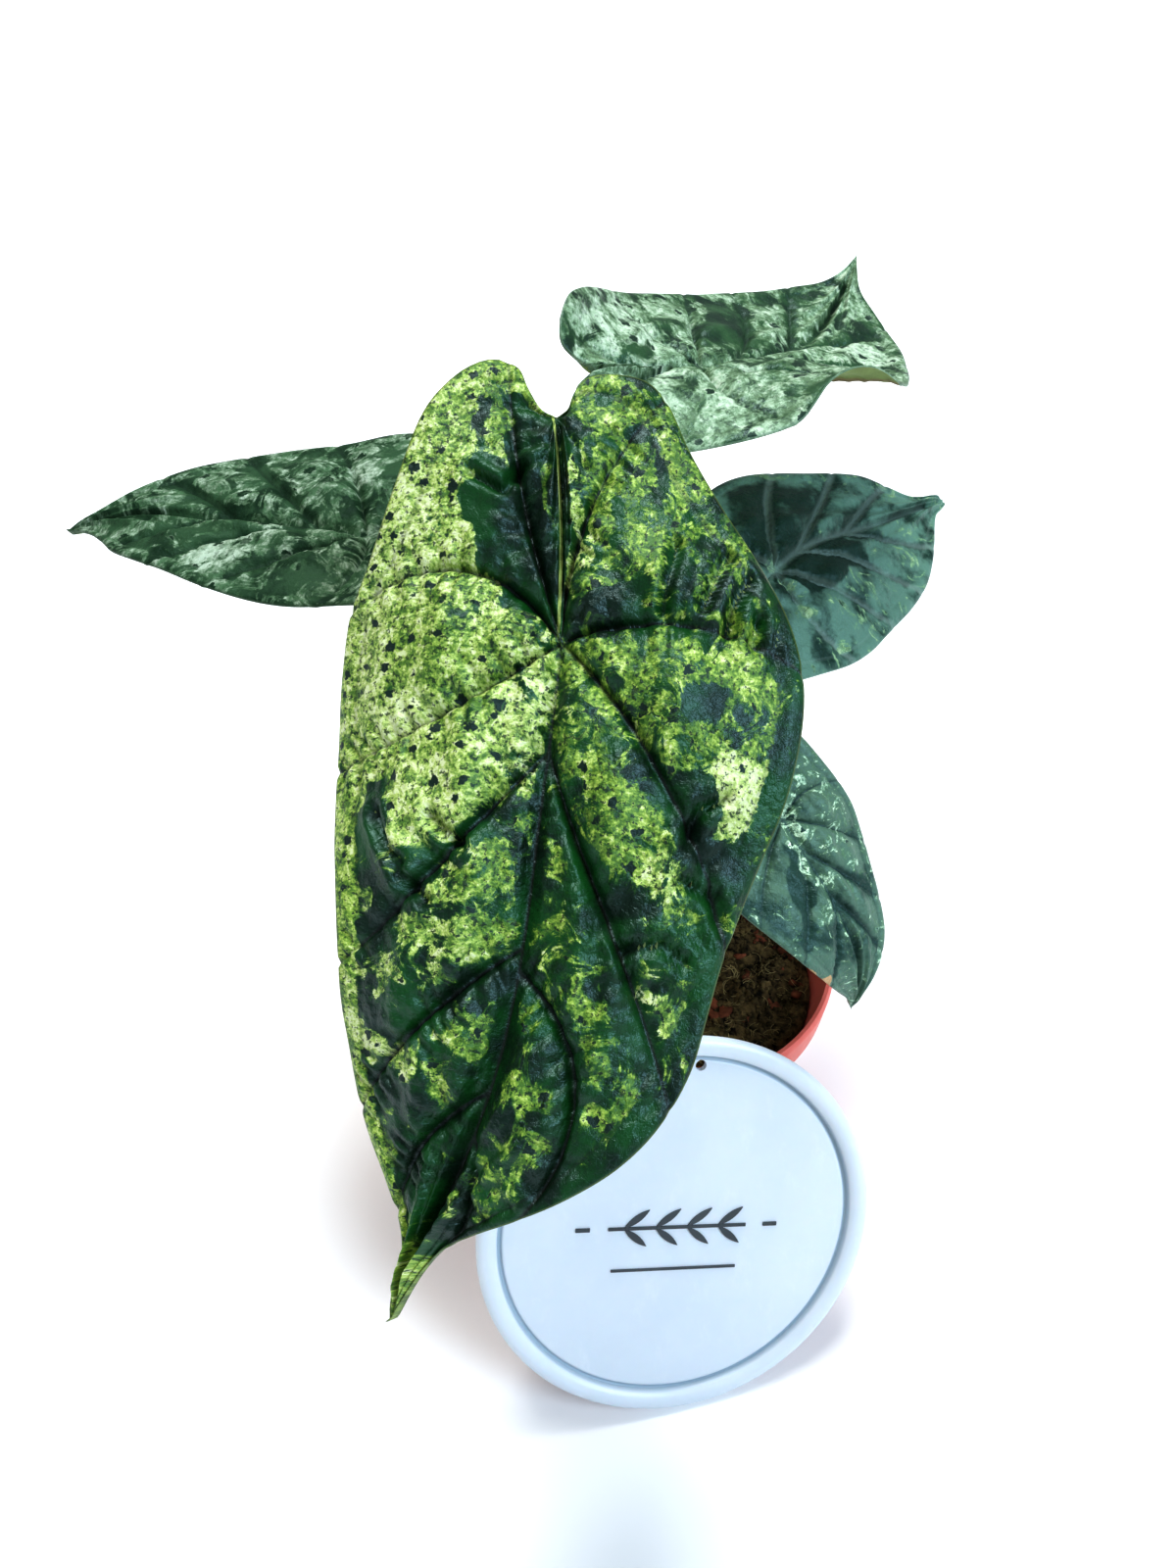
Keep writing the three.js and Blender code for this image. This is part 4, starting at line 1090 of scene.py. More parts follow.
def pebbled_bump(tree, wavy, noise, pebble_mm):
    """Domed pebbles with fine cracks, calmer in some places, as a bump too fine for the mesh."""
    inputs = {"Vector": wavy, "Scale": 1 / pebble_mm, "Smoothness": 0.35}
    dome = add(tree, VORONOI, inputs, "Distance", voronoi_dimensions="2D", feature="SMOOTH_F1")
    inputs = {"Vector": wavy, "Scale": 2.6 / pebble_mm}
    crack = add(
        tree, VORONOI, inputs, "Distance", voronoi_dimensions="2D", feature="DISTANCE_TO_EDGE"
    )
    dome = add(tree, MAP_RANGE, {0: dome, 1: 0.1, 2: 0.8, 3: 1.0, 4: 0.0}, 0, **SMOOTH)
    calm = add(tree, MAP_RANGE, {0: noise["calm"], 1: 0.35, 2: 0.6, 3: 0.25}, 0, **SMOOTH)
    crack = add(tree, MAP_RANGE, {0: crack, 2: 0.25}, 0, **SMOOTH)
    height = add(tree, MATH, {0: dome, 1: calm}, 0, operation="MULTIPLY")
    height = weighed_sum(tree, height, [(crack, 0.12), (noise["fine"], 0.4)])
    return add(tree, "ShaderNodeBump", {"Height": height, "Distance": 0.3 * MM, "Strength": 0.8}, 0)


# %% Leaf skin material
def leaf_skin(
    name, palette, tear_mm, fleck_mm, softness, islands_mm, pepper, pebble_mm, gloss,
    vein_mm=0.55, vein_amount=0.85, stripe=False, ior=1.45, shading=0.0,
):
    material, tree, skin = start_material(name)
    place = flat_place(tree)
    mark = {use: add(tree, "ShaderNodeAttribute", out="Fac", attribute_name=use) for use in MARKS}
    noise = leaf_noises(tree, place, tear_mm, fleck_mm)
    wavy, island = dark_islands(tree, place, islands_mm)

    level = weighed_sum(tree, mark["pale"], [(noise["tear"], 1.5), (noise["fray"], 0.5)])
    bare = add(tree, MAP_RANGE, {0: level, 1: 0.5 - softness, 2: 0.5 + softness}, 0, **SMOOTH)
    half = add(tree, MAP_RANGE, {0: level, 1: 0.28, 2: 0.52}, 0, **SMOOTH)
    mossy = add(tree, MATH, {0: half, 1: 0.7}, 0, operation="MULTIPLY")
    lit = weighed_sum(tree, noise["cloud"], [(mark["pale"], shading)])
    lit = add(tree, MAP_RANGE, {0: lit, 1: 0.36, 2: 0.64}, 0, **SMOOTH)
    green = painted_over(tree, palette["deep"], [(lit, palette["green"]), (mossy, palette["moss"])])

    whiter = weighed_sum(tree, mark["cream"], [(noise["tone"], 1.6)])
    whiter = add(tree, MAP_RANGE, {0: whiter, 1: 0.1, 2: 1.0}, 0, **SMOOTH)
    tone = weighed_sum(tree, 0.18, [
        (noise["tone"], 1.15), (noise["grain"], 0.8), (whiter, 0.42), (level, 0.24),
    ])
    tissue = add(tree, "ShaderNodeValToRGB", {0: add(tree, MAP_RANGE, {0: tone}, 0)})
    stops = tissue.color_ramp.elements
    stops[0].color, stops[1].color = palette["olive"], palette["cream"]
    for at, shade in PALE_STOPS:
        stops.new(at).color = palette[shade]
    milky = add(tree, MATH, {0: whiter, 1: 0.22}, 0, operation="MULTIPLY")
    tissue = painted_over(tree, tissue.outputs[0], [(milky, palette["cream"])])

    dots = weighed_sum(tree, noise["dots"], [(noise["tone"], -0.2)])
    dots = add(tree, MAP_RANGE, {0: dots, 1: 0.57, 2: 0.6, 4: pepper}, 0, **SMOOTH)
    covered = add(tree, MAP_RANGE, {0: bare, 3: 1.0, 4: 0.45}, 0, **SMOOTH)
    # Painted shade: deep green laid beside each rib stands in for shade in the sunken vein grooves.
    rib_shade = add(tree, MAP_RANGE, {0: mark["rib"], 1: 0.2, 2: 1.4, 3: 0.2, 4: 0.0}, 0, **SMOOTH)
    inputs = {0: mark["rib"], 1: vein_mm * 0.15, 2: vein_mm, 3: vein_amount, 4: 0.0}
    vein = add(tree, MAP_RANGE, inputs, 0, **SMOOTH)
    dots, island, rib_shade, vein = (
        add(tree, MATH, {0: mask, 1: limit}, 0, operation="MULTIPLY")
        for mask, limit in ((dots, bare), (island, bare), (rib_shade, covered), (vein, covered))
    )
    inputs = {0: mark["band"], 1: 0.1, 2: 0.8, 3: vein_amount * 0.5, 4: 0.0}
    rolled = add(tree, MAP_RANGE, inputs, 0, **SMOOTH)
    margin = add(tree, MAP_RANGE, {0: mark["edge"], 1: 0.15, 2: 0.4, 3: 0.6, 4: 0.0}, 0, **SMOOTH)
    torn = weighed_sum(tree, mark["scar"], [(noise["scab"], 0.8)])
    torn = add(tree, MAP_RANGE, {0: torn, 1: 0.45, 2: 0.6, 4: 0.9}, 0, **SMOOTH)
    coats = [
        (bare, tissue), (dots, palette["deep"]), (island, palette["deep"]), (rib_shade, palette["deep"]),
        (vein, palette["vein"]), (rolled, palette["vein"]), (margin, palette["margin"]),
        (torn, DRY_SCAR),
    ]
    if stripe:
        where = add(tree, "ShaderNodeSeparateXYZ", {0: place})
        midrib, joint = UV_SPAN * UV_START[0], UV_SPAN * UV_START[1]
        inputs = {0: where.outputs[0], 1: midrib - STRIPE_BESIDE_MIDRIB, 2: STRIPE_HALF_WIDTH}
        beside = add(tree, MATH, inputs, 0, operation="COMPARE")
        inputs = {0: where.outputs[1], 1: joint - 6, 2: joint - 1, 3: 0.8, 4: 0.0}
        above = add(tree, MAP_RANGE, inputs, 0, **SMOOTH)
        line = add(tree, MATH, {0: beside, 1: above}, 0, operation="MULTIPLY")
        coats.append((line, palette["bright"]))
    join_inputs(tree, skin, {
        "Base Color": painted_over(tree, green, coats),
        "Roughness": add(tree, MAP_RANGE, {0: bare, 3: gloss, 4: gloss + PALE_DULLER}, 0, **SMOOTH),
        "Normal": pebbled_bump(tree, wavy, noise, pebble_mm),
        "IOR": ior,
        "Specular Tint": WAX_GLINT,
    })
    return material


front_skin = leaf_skin(
    "waxy lime variegated leaf", LIME, tear_mm=8, fleck_mm=1.0, softness=0.05, islands_mm=6.5,
    pepper=0.85, pebble_mm=2.4, gloss=0.4, stripe=True, ior=1.62,
)
print(front_skin.name, len(front_skin.node_tree.nodes), "nodes")

# %% [markdown]
# The other leaves have the same skin in other light and at other ages. The one at the back is
# mint with a soft marbling, the left one is dull in the shade, the right one is dark teal with
# pale veins, and the low one is blue green and glossy. Only colours and sizes differ.

# %% The finishes of the other leaves
skins = {
    "front": front_skin,
    "back_right": leaf_skin(
        "waxy mint marbled leaf", MINT, tear_mm=12, fleck_mm=1.6, softness=0.2, islands_mm=10,
        pepper=0.5, pebble_mm=3.0, gloss=0.36, vein_mm=0.9, vein_amount=0.4,
    ),
    "left": leaf_skin(
        "waxy shaded marbled leaf", SHADE, tear_mm=10, fleck_mm=2.0, softness=0.16, islands_mm=11,
        pepper=0.4, pebble_mm=3.0, gloss=0.5, vein_mm=0.9, vein_amount=0.4, ior=1.22,
    ),
    "right": leaf_skin(
        "waxy teal leaf with pale veins", TEAL, tear_mm=10, fleck_mm=2.0, softness=0.14,
        islands_mm=9, pepper=0.4, pebble_mm=3.0, gloss=0.4, vein_mm=2.0, vein_amount=0.3,
        ior=1.35, shading=0.45,
    ),
    "low_right": leaf_skin(
        "waxy blue green leaf", BLUE_GREEN, tear_mm=5, fleck_mm=0.8, softness=0.07, islands_mm=6,
        pepper=0.5, pebble_mm=2.2, gloss=0.36, vein_amount=0.6, shading=0.6,
    ),
}

print(len(skins), "leaf finishes")

# %% [markdown]
# The underside of the leaf has no gloss. It is a pale, dull green with the veins standing
# out, a little redder than the skin between them.


# %% Leaf underside material
def underside_skin(name, pale_green, vein_colour, cloud_mm, grain_mm):
    material, tree, skin = start_material(name)
    place = flat_place(tree)
    cloud, grain = (
        add(tree, NOISE, {"Vector": place, "Scale": 1 / size, "Detail": detail}, 0,
            noise_dimensions="2D")
        for size, detail in ((cloud_mm, 6), (grain_mm, 3))
    )
    shade = [c * 0.62 for c in pale_green[:3]] + [1.0]
    rib = add(tree, "ShaderNodeAttribute", out="Fac", attribute_name="rib")
    vein = add(tree, MAP_RANGE, {0: rib, 1: 0.4, 2: 1.8, 3: 0.7, 4: 0.0}, 0, **SMOOTH)
    bump = add(tree, "ShaderNodeBump", {"Height": grain, "Distance": 0.15 * MM, "Strength": 0.5}, 0)
    join_inputs(tree, skin, {
        "Base Color": painted_over(tree, shade, [(cloud, pale_green), (vein, vein_colour)]),
        "Roughness": 0.6, "Normal": bump, "IOR": 1.4,
    })
    return material


underside = underside_skin("dull leaf underside", linear("8fa368"), linear("7a5a48"), 5, 0.7)
print(underside.name, len(underside.node_tree.nodes), "nodes")

# %% Make the five blades
for leaf in LEAVES:
    piece = blade(leaf, [skins[leaf["name"]], underside])
    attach(piece, "root")
    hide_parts("leaf_" + leaf["name"])

# %% [markdown]
# A stalk rises from the crown, leans out and turns up under the leaf's joint. It is a tube
# along a smooth line, thick at its foot, where the real one wraps round the crown as a sheath.
# Each is given the angle of its foot round the crown in degrees, how far its middle sways, and
# its radii at foot and head, in mm.

# %% Stalk sizes
SOIL_TOP = 81.0
STEM_CIRCLE = 12.5
STEM_DEPTH = 19.0
STEM_SIDES = 28
STEM_STEPS = 90
STEM_SQUEEZE = 0.03
STEM_TAPER = 2.2
HEAD_FLARE = 0.9
HEAD_GAP = 0.6
COLLAR_HEIGHT = 4
RISE_HEIGHT = 22
NECK_LENGTHS = (20, 9)
STALKS = {
    "front": (246, (2, 14, 4), (4.2, 2.4)),
    "back_right": (100, (-12, 4, 0), (3.6, 2)),
    "left": (174, (0, 0, 10), (3.6, 2)),
    "right": (36, (-6, 0, 8), (3.4, 1.9)),
    "low_right": (316, (-4, 6, 6), (3, 1.7)),
}


def stalk_path(leaf):
    foot, sway, _ = STALKS[leaf["name"]]
    a = math.radians(foot)
    point, _, normal = on_spine(spine(leaf), np.array(0.0))
    normal = normal / np.linalg.norm(normal)
    head = point - normal * (leaf["thickness"] + HEAD_GAP)
    base = np.array([math.cos(a), math.sin(a), 0]) * STEM_CIRCLE
    sole = base + (0, 0, SOIL_TOP - STEM_DEPTH)
    collar = base * 0.94 + (0, 0, SOIL_TOP + COLLAR_HEIGHT)
    rise = base * 0.96 + (0, 0, SOIL_TOP + RISE_HEIGHT)
    lower, neck = (head - normal * length for length in NECK_LENGTHS)
    middle = rise * 0.45 + lower * 0.55 + np.array(sway)
    return np.array([sole, collar, rise, middle, lower, neck, head])


def even_points(path, count):
    line, length = smooth_outline(path)
    at = np.linspace(0, 1, count)
    return np.stack([np.interp(at, length, line[:, k]) for k in range(3)], axis=-1)


def tube(name, points, radii, sides, material):
    tangent = np.gradient(points, axis=0)
    tangent /= np.linalg.norm(tangent, axis=1)[:, None]
    normal = np.cross(tangent[0], (0.3, 0.9, 0.1))
    angle = np.linspace(0, 2 * np.pi, sides, endpoint=False)
    places = []
    for point, along, radius in zip(points, tangent, radii):
        normal = normal - along * (normal @ along)
        normal /= np.linalg.norm(normal)
        other = np.cross(along, normal)
        size = radius * (1 + STEM_SQUEEZE * np.cos(3 * angle))
        ring = np.cos(angle)[:, None] * normal + np.sin(angle)[:, None] * other
        places.append(point + ring * size[:, None])
    steps = len(points)
    places = np.vstack(places + [points[:1], points[-1:]]) * MM
    faces = []
    for k in range(sides):
        n = (k + 1) % sides
        faces.append((steps * sides, n, k))
        last = (steps - 1) * sides
        faces.append((steps * sides + 1, last + k, last + n))
        for i in range(steps - 1):
            a = i * sides
            faces.append((a + k, a + n, a + sides + n, a + sides + k))
    return piece_from(name, places.tolist(), faces, [material])


print("front stalk's height over the mix, mm:", round(stalk_path(FRONT)[-1][2] - SOIL_TOP, 1))

# %% [markdown]
# Alocasia stalks are smooth and juicy, pale green with fine lengthwise streaks, and blushed
# brownish red towards the foot. Streaks are noise that is squeezed round the stalk and
# stretched along it, to about 1 mm by 17 mm.

# %% Stalk material
BLUSH_FROM, BLUSH_TO = 85 * MM, 160 * MM


def stalk_skin():
    material, tree, skin = start_material("juicy streaked stalk")
    place = add(tree, "ShaderNodeTexCoord", out="Object")
    stretched = add(tree, "ShaderNodeMapping", {"Vector": place, "Scale": (900, 900, 60)}, 0)
    streak = add(tree, NOISE, {"Vector": stretched, "Scale": 1.0, "Detail": 4, "Roughness": 0.6}, 0)
    streak = add(tree, MAP_RANGE, {0: streak, 1: 0.35, 2: 0.65}, 0)
    green = painted_over(tree, linear("5d7a3a"), [(streak, linear("97a866"))])
    blush = painted_over(tree, linear("5a3b2c"), [(streak, linear("8a6a4c"))])
    height = add(tree, "ShaderNodeSeparateXYZ", {0: place}, 2)
    inputs = {0: height, 1: BLUSH_FROM, 2: BLUSH_TO, 3: 0.85, 4: 0.0}
    low = add(tree, MAP_RANGE, inputs, 0, **SMOOTH)
    bump = add(tree, "ShaderNodeBump", {"Height": streak, "Distance": 0.1 * MM, "Strength": 0.4}, 0)
    join_inputs(tree, skin, {
        "Base Color": painted_over(tree, green, [(low, blush)]), "Roughness": 0.38,
        "Normal": bump, "IOR": 1.42, "Subsurface Weight": 0.15, "Subsurface Scale": 0.002,
    })
    return material


stalk_material = stalk_skin()
for leaf in LEAVES:
    thick, thin = STALKS[leaf["name"]][2]
    t = np.linspace(0, 1, STEM_STEPS)
    radii = between(thin, thick, (1 - t) ** STEM_TAPER) + HEAD_FLARE * smoothstep(0.96, 1.0, t)
    points = even_points(stalk_path(leaf), STEM_STEPS)
    piece = tube("stalk_" + leaf["name"], points, radii, STEM_SIDES, stalk_material)
    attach(piece, "root")
    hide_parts("petiole_" + leaf["name"])
    print(piece.name, len(piece.data.polygons), "faces")

# %% [markdown]
# Turned shapes come next: the pot, the label's disc and the corm. One function turns a profile
# of radius and height about the vertical axis and closes it on the axis.


# %% Turn a profile
def turned(name, profile, segments, materials, ridge=None):
    places, faces, rings = [], [], []
    for radius, height in profile:
        if radius == 0:
            rings.append([len(places)] * segments)
            places.append((0, 0, height))
            continue
        first = len(places)
        for k in range(segments):
            a = 2 * math.pi * k / segments
            r = radius * (ridge(a, height) if ridge else 1)
            places.append((r * math.cos(a), r * math.sin(a), height))
        rings.append(list(range(first, first + segments)))
    for low, high in zip(rings, rings[1:]):
        for k in range(segments):
            n = (k + 1) % segments
            face = list(dict.fromkeys((low[k], low[n], high[n], high[k])))
            if len(face) > 2:
                faces.append(face)
    return piece_from(name, (np.array(places) * MM).tolist(), faces, materials)


def rounded(profile, radius, corners, steps=5):
    """Replaces each listed corner of a profile by a short arc-like curve."""
    result = []
    for i, point in enumerate(profile):
        if i not in corners:
            result.append(point)
            continue
        here = np.array(point, float)
        before, after = np.array(profile[i - 1], float), np.array(profile[i + 1], float)
        a = here + (before - here) * min(0.45, radius / np.linalg.norm(before - here))
        b = here + (after - here) * min(0.45, radius / np.linalg.norm(after - here))
        for s in range(steps + 1):
            t = s / steps
            result.append(tuple((1 - t) ** 2 * a + 2 * t * (1 - t) * here + t**2 * b))
    return result


def cut_through(piece, cutters):
    """Cuts cylinders given as (centre, axis, radius, length) out of a piece, for good."""
    for centre, axis, radius, length in cutters:
        bpy.ops.mesh.primitive_cylinder_add(vertices=40, radius=radius, depth=length)
        drill = bpy.context.object
        drill.matrix_world = Vector(axis).to_track_quat("Z", "Y").to_matrix().to_4x4()
        drill.location = centre
        bpy.context.view_layer.update()
        cut = piece.modifiers.new("cut", "BOOLEAN")
        cut.operation = "DIFFERENCE"
        cut.solver = "EXACT"
        cut.object = drill
        depsgraph = bpy.context.evaluated_depsgraph_get()
        mesh = bpy.data.meshes.new_from_object(piece.evaluated_get(depsgraph))
        piece.modifiers.remove(cut)
        piece.data = mesh
        bpy.data.objects.remove(drill)
    piece.data.set_sharp_from_angle(angle=math.radians(50))


# %% [markdown]
# The pot is injection moulded polypropylene in a pinkish terracotta: a thin wall, a deeper rim
# band to stiffen it, and holes in the floor to drain. It is turned from one profile, inside and
# out, and the holes are cut through it. The plastic is slightly waxy, with clouds about 20 mm
# wide, faint flow streaks of 7 mm by 55 mm, and a bloom of dried water marks in the streaks.

# %% Pot
RIM_RADIUS = 60.0
POT_HEIGHT = 94.0
BASE_RADIUS = 43.0
BAND_HEIGHT = 13.0
POT_WALL = 1.7
POT_FLOOR = 3.4
POT_SEGMENTS = 192
POT_ROUNDED = {1, 2, 3, 4, 7, 8, 9, 10, 16, 17}
DRAIN_HOLES = 6
DRAIN_CIRCLE = 25
DRAIN_RADIUS = 4
DRILL_LENGTH = 12
band_foot = POT_HEIGHT - BAND_HEIGHT
shoulder = RIM_RADIUS - 4.4
POT_PROFILE = [
    (0, 0), (15, 0), (16.5, 1.6), (34, 1.6), (35.5, 0), (BASE_RADIUS - 1, 0), (BASE_RADIUS, 1.2),
    (BASE_RADIUS + 0.6, 5), (shoulder, band_foot - 1.5), (RIM_RADIUS - 1.6, band_foot),
    (RIM_RADIUS - 1.3, band_foot + 1.4), (RIM_RADIUS - 0.1, POT_HEIGHT - 2.4),
    (RIM_RADIUS, POT_HEIGHT - 1.2), (RIM_RADIUS - 0.9, POT_HEIGHT), (RIM_RADIUS - 2.1, POT_HEIGHT),
    (RIM_RADIUS - 2.8, POT_HEIGHT - 1.8), (shoulder - 1.6, band_foot - 1.5),
    (BASE_RADIUS - POT_WALL, POT_FLOOR), (0, POT_FLOOR),
]


def moulded_plastic(name, base, dark, bloom, roughness):
    material, tree, skin = start_material(name)
    place = add(tree, "ShaderNodeTexCoord", out="Object")
    cloud = add(tree, NOISE, {"Vector": place, "Scale": 45, "Detail": 5, "Roughness": 0.6}, 0)
    cloud = add(tree, MAP_RANGE, {0: cloud, 1: 0.35, 2: 0.65}, 0)
    stretched = add(tree, "ShaderNodeMapping", {"Vector": place, "Scale": (150, 150, 18)}, 0)
    streak = add(tree, NOISE, {"Vector": stretched, "Scale": 1, "Detail": 6, "Roughness": 0.7}, 0)
    streak = add(tree, MAP_RANGE, {0: streak, 1: 0.52, 2: 0.8, 4: 0.45}, 0, **SMOOTH)
    grain = add(tree, NOISE, {"Vector": place, "Scale": 2200, "Detail": 2}, 0)
    bump = add(tree, "ShaderNodeBump", {"Height": grain, "Distance": 0.05 * MM, "Strength": 0.35}, 0)
    join_inputs(tree, skin, {
        "Base Color": painted_over(tree, dark, [(cloud, base), (streak, bloom)]),
        "Roughness": add(tree, MAP_RANGE, {0: cloud, 3: roughness, 4: roughness + 0.12}, 0),
        "Normal": bump, "IOR": 1.49, "Subsurface Weight": 0.08, "Subsurface Scale": 0.003,
    })
    return material


pot_material = moulded_plastic(
    "moulded terracotta polypropylene", linear("dc7368"), linear("d2695e"), linear("e39a8f"), 0.4
)
pot_profile = rounded(POT_PROFILE, 0.8, POT_ROUNDED)
pot = turned("nursery_pot", pot_profile, POT_SEGMENTS, [pot_material])
drain_angles = [2 * math.pi * (i + 0.5) / DRAIN_HOLES for i in range(DRAIN_HOLES)]
cut_through(pot, [
    ((DRAIN_CIRCLE * MM * math.cos(a), DRAIN_CIRCLE * MM * math.sin(a), 2 * MM), (0, 0, 1),
     DRAIN_RADIUS * MM, DRILL_LENGTH * MM)
    for a in drain_angles
])
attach(pot, "root")
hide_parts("pot")
print("pot", len(pot.data.polygons), "faces")

# %% [markdown]
# The label is a round card of white plastic with a rolled rim and a shallow groove inside it,
# a small hole near the top and raised marks. It leans back on the pot's rim, so it is turned
# flat first and its mesh is then laid into place. Its marks are a plain leafy sprig. Each point
# keeps its flat place, in mm, so the finish knows where the groove is and can darken it there
# with painted shade, a grey-blue line.

# %% Label disc
LABEL_RADIUS = 62.5
LABEL_BAND = 6.6
LABEL_CENTRE = Vector((3.7, -82.15, 55.7)) * MM
LABEL_LEAN = math.radians(26.7)
LABEL_TURN = math.radians(13.3)
LABEL_SPIN = math.radians(-11)
LABEL_SEGMENTS = 240
LABEL_HOLE = (2, 52.8)
LABEL_HOLE_RADIUS = 1.7
field = LABEL_RADIUS - LABEL_BAND
LABEL_PROFILE = [
    (0, -1.5), (LABEL_RADIUS - 3, -1.5), (LABEL_RADIUS - 0.9, -0.8), (LABEL_RADIUS, 0.5),
    (LABEL_RADIUS - 0.4, 1.7), (LABEL_RADIUS - 1.6, 2.6), (LABEL_RADIUS - 3.3, 2.9),
    (LABEL_RADIUS - 5, 2.5), (field + 0.2, 1.5), (field, -0.1), (field - 0.9, -0.25),
    (field - 1.5, 0.6), (44, 0.6), (30, 0.6), (16, 0.6), (0, 0.6),
]
label_normal = Vector((
    math.cos(LABEL_LEAN) * math.sin(LABEL_TURN),
    -math.cos(LABEL_LEAN) * math.cos(LABEL_TURN),
    math.sin(LABEL_LEAN),
))
label_up = (Vector((0, 0, 1)) - label_normal * label_normal.z).normalized()
label_right = label_up.cross(label_normal)


def lay_label(piece):
    c, s = math.cos(LABEL_SPIN), math.sin(LABEL_SPIN)
    flat_place = piece.data.attributes.new("label_place", "FLOAT_VECTOR", "POINT")
    flat_place.data.foreach_set("vector", [v / MM for p in piece.data.vertices for v in p.co])
    for vertex in piece.data.vertices:
        x, y, z = vertex.co
        flat = Vector((c * x - s * y, s * x + c * y, z))
        vertex.co = LABEL_CENTRE + label_right * flat.x + label_up * flat.y + label_normal * flat.z
    piece.data.update()


label_material = moulded_plastic(
    "satin white polypropylene", linear("d2dae2"), linear("cdd6df"), linear("dde3e9"), 0.34
)
label_tree = label_material.node_tree
label_skin = next(n for n in label_tree.nodes if n.type == "BSDF_PRINCIPLED")
plain_white = label_skin.inputs["Base Color"].links[0].from_socket
place = add(label_tree, "ShaderNodeAttribute", out="Vector", attribute_name="label_place")
level = add(label_tree, VECTOR_MATH, {0: place, 1: (1, 1, 0)}, 0, operation="MULTIPLY")
from_centre = add(label_tree, VECTOR_MATH, {0: level}, "Value", operation="LENGTH")
off_groove = add(label_tree, MATH, {0: from_centre, 1: field - 0.5}, 0, operation="SUBTRACT")
off_groove = add(label_tree, MATH, {0: off_groove}, 0, operation="ABSOLUTE")
# Painted shade: a grey-blue line darkens the groove inside the rim, where shade falls.
groove_shade = add(label_tree, MAP_RANGE, {0: off_groove, 1: 0.3, 2: 1.1, 3: 0.75, 4: 0.0}, 0)
shaded_groove_white = painted_over(label_tree, plain_white, [(groove_shade, linear("8ba3b3"))])
join_inputs(label_tree, label_skin, {"Base Color": shaded_groove_white})
label_profile = rounded(LABEL_PROFILE, 0.9, set(range(1, 12)), 4)
disc = turned("plant_label", label_profile, LABEL_SEGMENTS, [label_material])
hole_x, hole_y = LABEL_HOLE
cut_through(disc, [
    ((hole_x * MM, hole_y * MM, 0), (0, 0, 1), LABEL_HOLE_RADIUS * MM, DRILL_LENGTH * MM),
])
lay_label(disc)
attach(disc, "root")
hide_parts("label_disc")
print("label", len(disc.data.polygons), "faces")


# %% Raised marks on the label
def bar(x, y, width, height):
    return [(x - width / 2, y - height / 2), (x + width / 2, y - height / 2),
            (x + width / 2, y + height / 2), (x - width / 2, y + height / 2)]


def leaflet(x, y, length, width, turn):
    c, s = math.cos(math.radians(turn)), math.sin(math.radians(turn))
    t = np.linspace(0, 1, 9)
    upper = [(length * u, 1.8 * width * u * (1 - u)) for u in t]
    lower = [(u, -v) for u, v in upper[-2:0:-1]]
    return [(x + u * c - v * s, y + u * s + v * c) for u, v in upper + lower]


def raised_marks(name, outlines, low, high, material):
    places, faces = [], []
    for outline in outlines:
        first, count = len(places), len(outline)
        places += [(x, y, low) for x, y in outline] + [(x, y, high) for x, y in outline]
        faces.append([first + count + k for k in range(count)])
        faces.append([first + k for k in reversed(range(count))])
        for k in range(count):
            n = (k + 1) % count
            faces.append((first + k, first + n, first + count + n, first + count + k))
    piece = piece_from(name, (np.array(places) * MM).tolist(), faces, [material])
    piece.data.polygons.foreach_set("use_smooth", [False] * len(piece.data.polygons))
    return piece


ink = moulded_plastic(
    "dark grey raised ink", linear("4b5358"), linear("3d4449"), linear("5a6267"), 0.5
)
SPRIG = [bar(0, 0, 44, 1), bar(-30, 0, 4.4, 1.2), bar(30, 0, 4.4, 1.2), bar(0, -14, 40, 0.8)]
for x in (-17, -7, 3, 13):
    SPRIG += [leaflet(x, 0.2 * up, 9.5, 2.4, 38 * up) for up in (1, -1)]
marks = raised_marks("label_marks", SPRIG, 0.3, 1.0, ink)
lay_label(marks)
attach(marks, "root")
print("raised marks:", len(SPRIG))

# %% [markdown]
# The corm is the swollen foot of the plant that all the stalks grow from. It is ringed with the
# scars and dry papery husks of old leaves, which here are ridges on a turned shape.

# %% Corm
CORM_PROFILE = [
    (0, -17), (4.5, -16.5), (6.6, -12), (7, -3), (6.7, 5), (5.6, 11), (3.4, 15.5), (0, 17.5),
]


def fine_profile(profile, steps):
    line, length = smooth_outline(profile)
    at = np.linspace(0, 1, steps)
    radius = np.maximum(np.interp(at, length, line[:, 0]), 0)
    height = np.interp(at, length, line[:, 1]) + SOIL_TOP
    radius[0] = radius[-1] = 0
    return list(zip(radius.tolist(), height.tolist()))


def husk_ridge(angle, height):
    scar = 0.06 * abs(math.sin(height * 1.05 + 0.6 * math.sin(2 * angle)))
    return 1 + 0.05 * math.sin(3 * angle + height * 0.5) + scar * (0.7 + 0.3 * math.sin(17 * angle))


def husk_skin():
    material, tree, skin = start_material("dry papery husk")
    place = add(tree, "ShaderNodeTexCoord", out="Object")
    stretched = add(tree, "ShaderNodeMapping", {"Vector": place, "Scale": (1500, 1500, 130)}, 0)
    fibre = add(tree, NOISE, {"Vector": stretched, "Scale": 1, "Detail": 5}, 0)
    fibre = add(tree, MAP_RANGE, {0: fibre, 1: 0.35, 2: 0.65}, 0)
    bump = add(tree, "ShaderNodeBump", {"Height": fibre, "Distance": 0.3 * MM, "Strength": 0.7}, 0)
    colour = painted_over(tree, linear("4a3422"), [(fibre, linear("94744c"))])
    join_inputs(tree, skin, {"Base Color": colour, "Roughness": 0.78, "Normal": bump})
    return material


corm = turned("corm_with_husks", fine_profile(CORM_PROFILE, 60), 96, [husk_skin()], husk_ridge)
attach(corm, "root")
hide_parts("corm")
print("corm", len(corm.data.polygons), "faces")

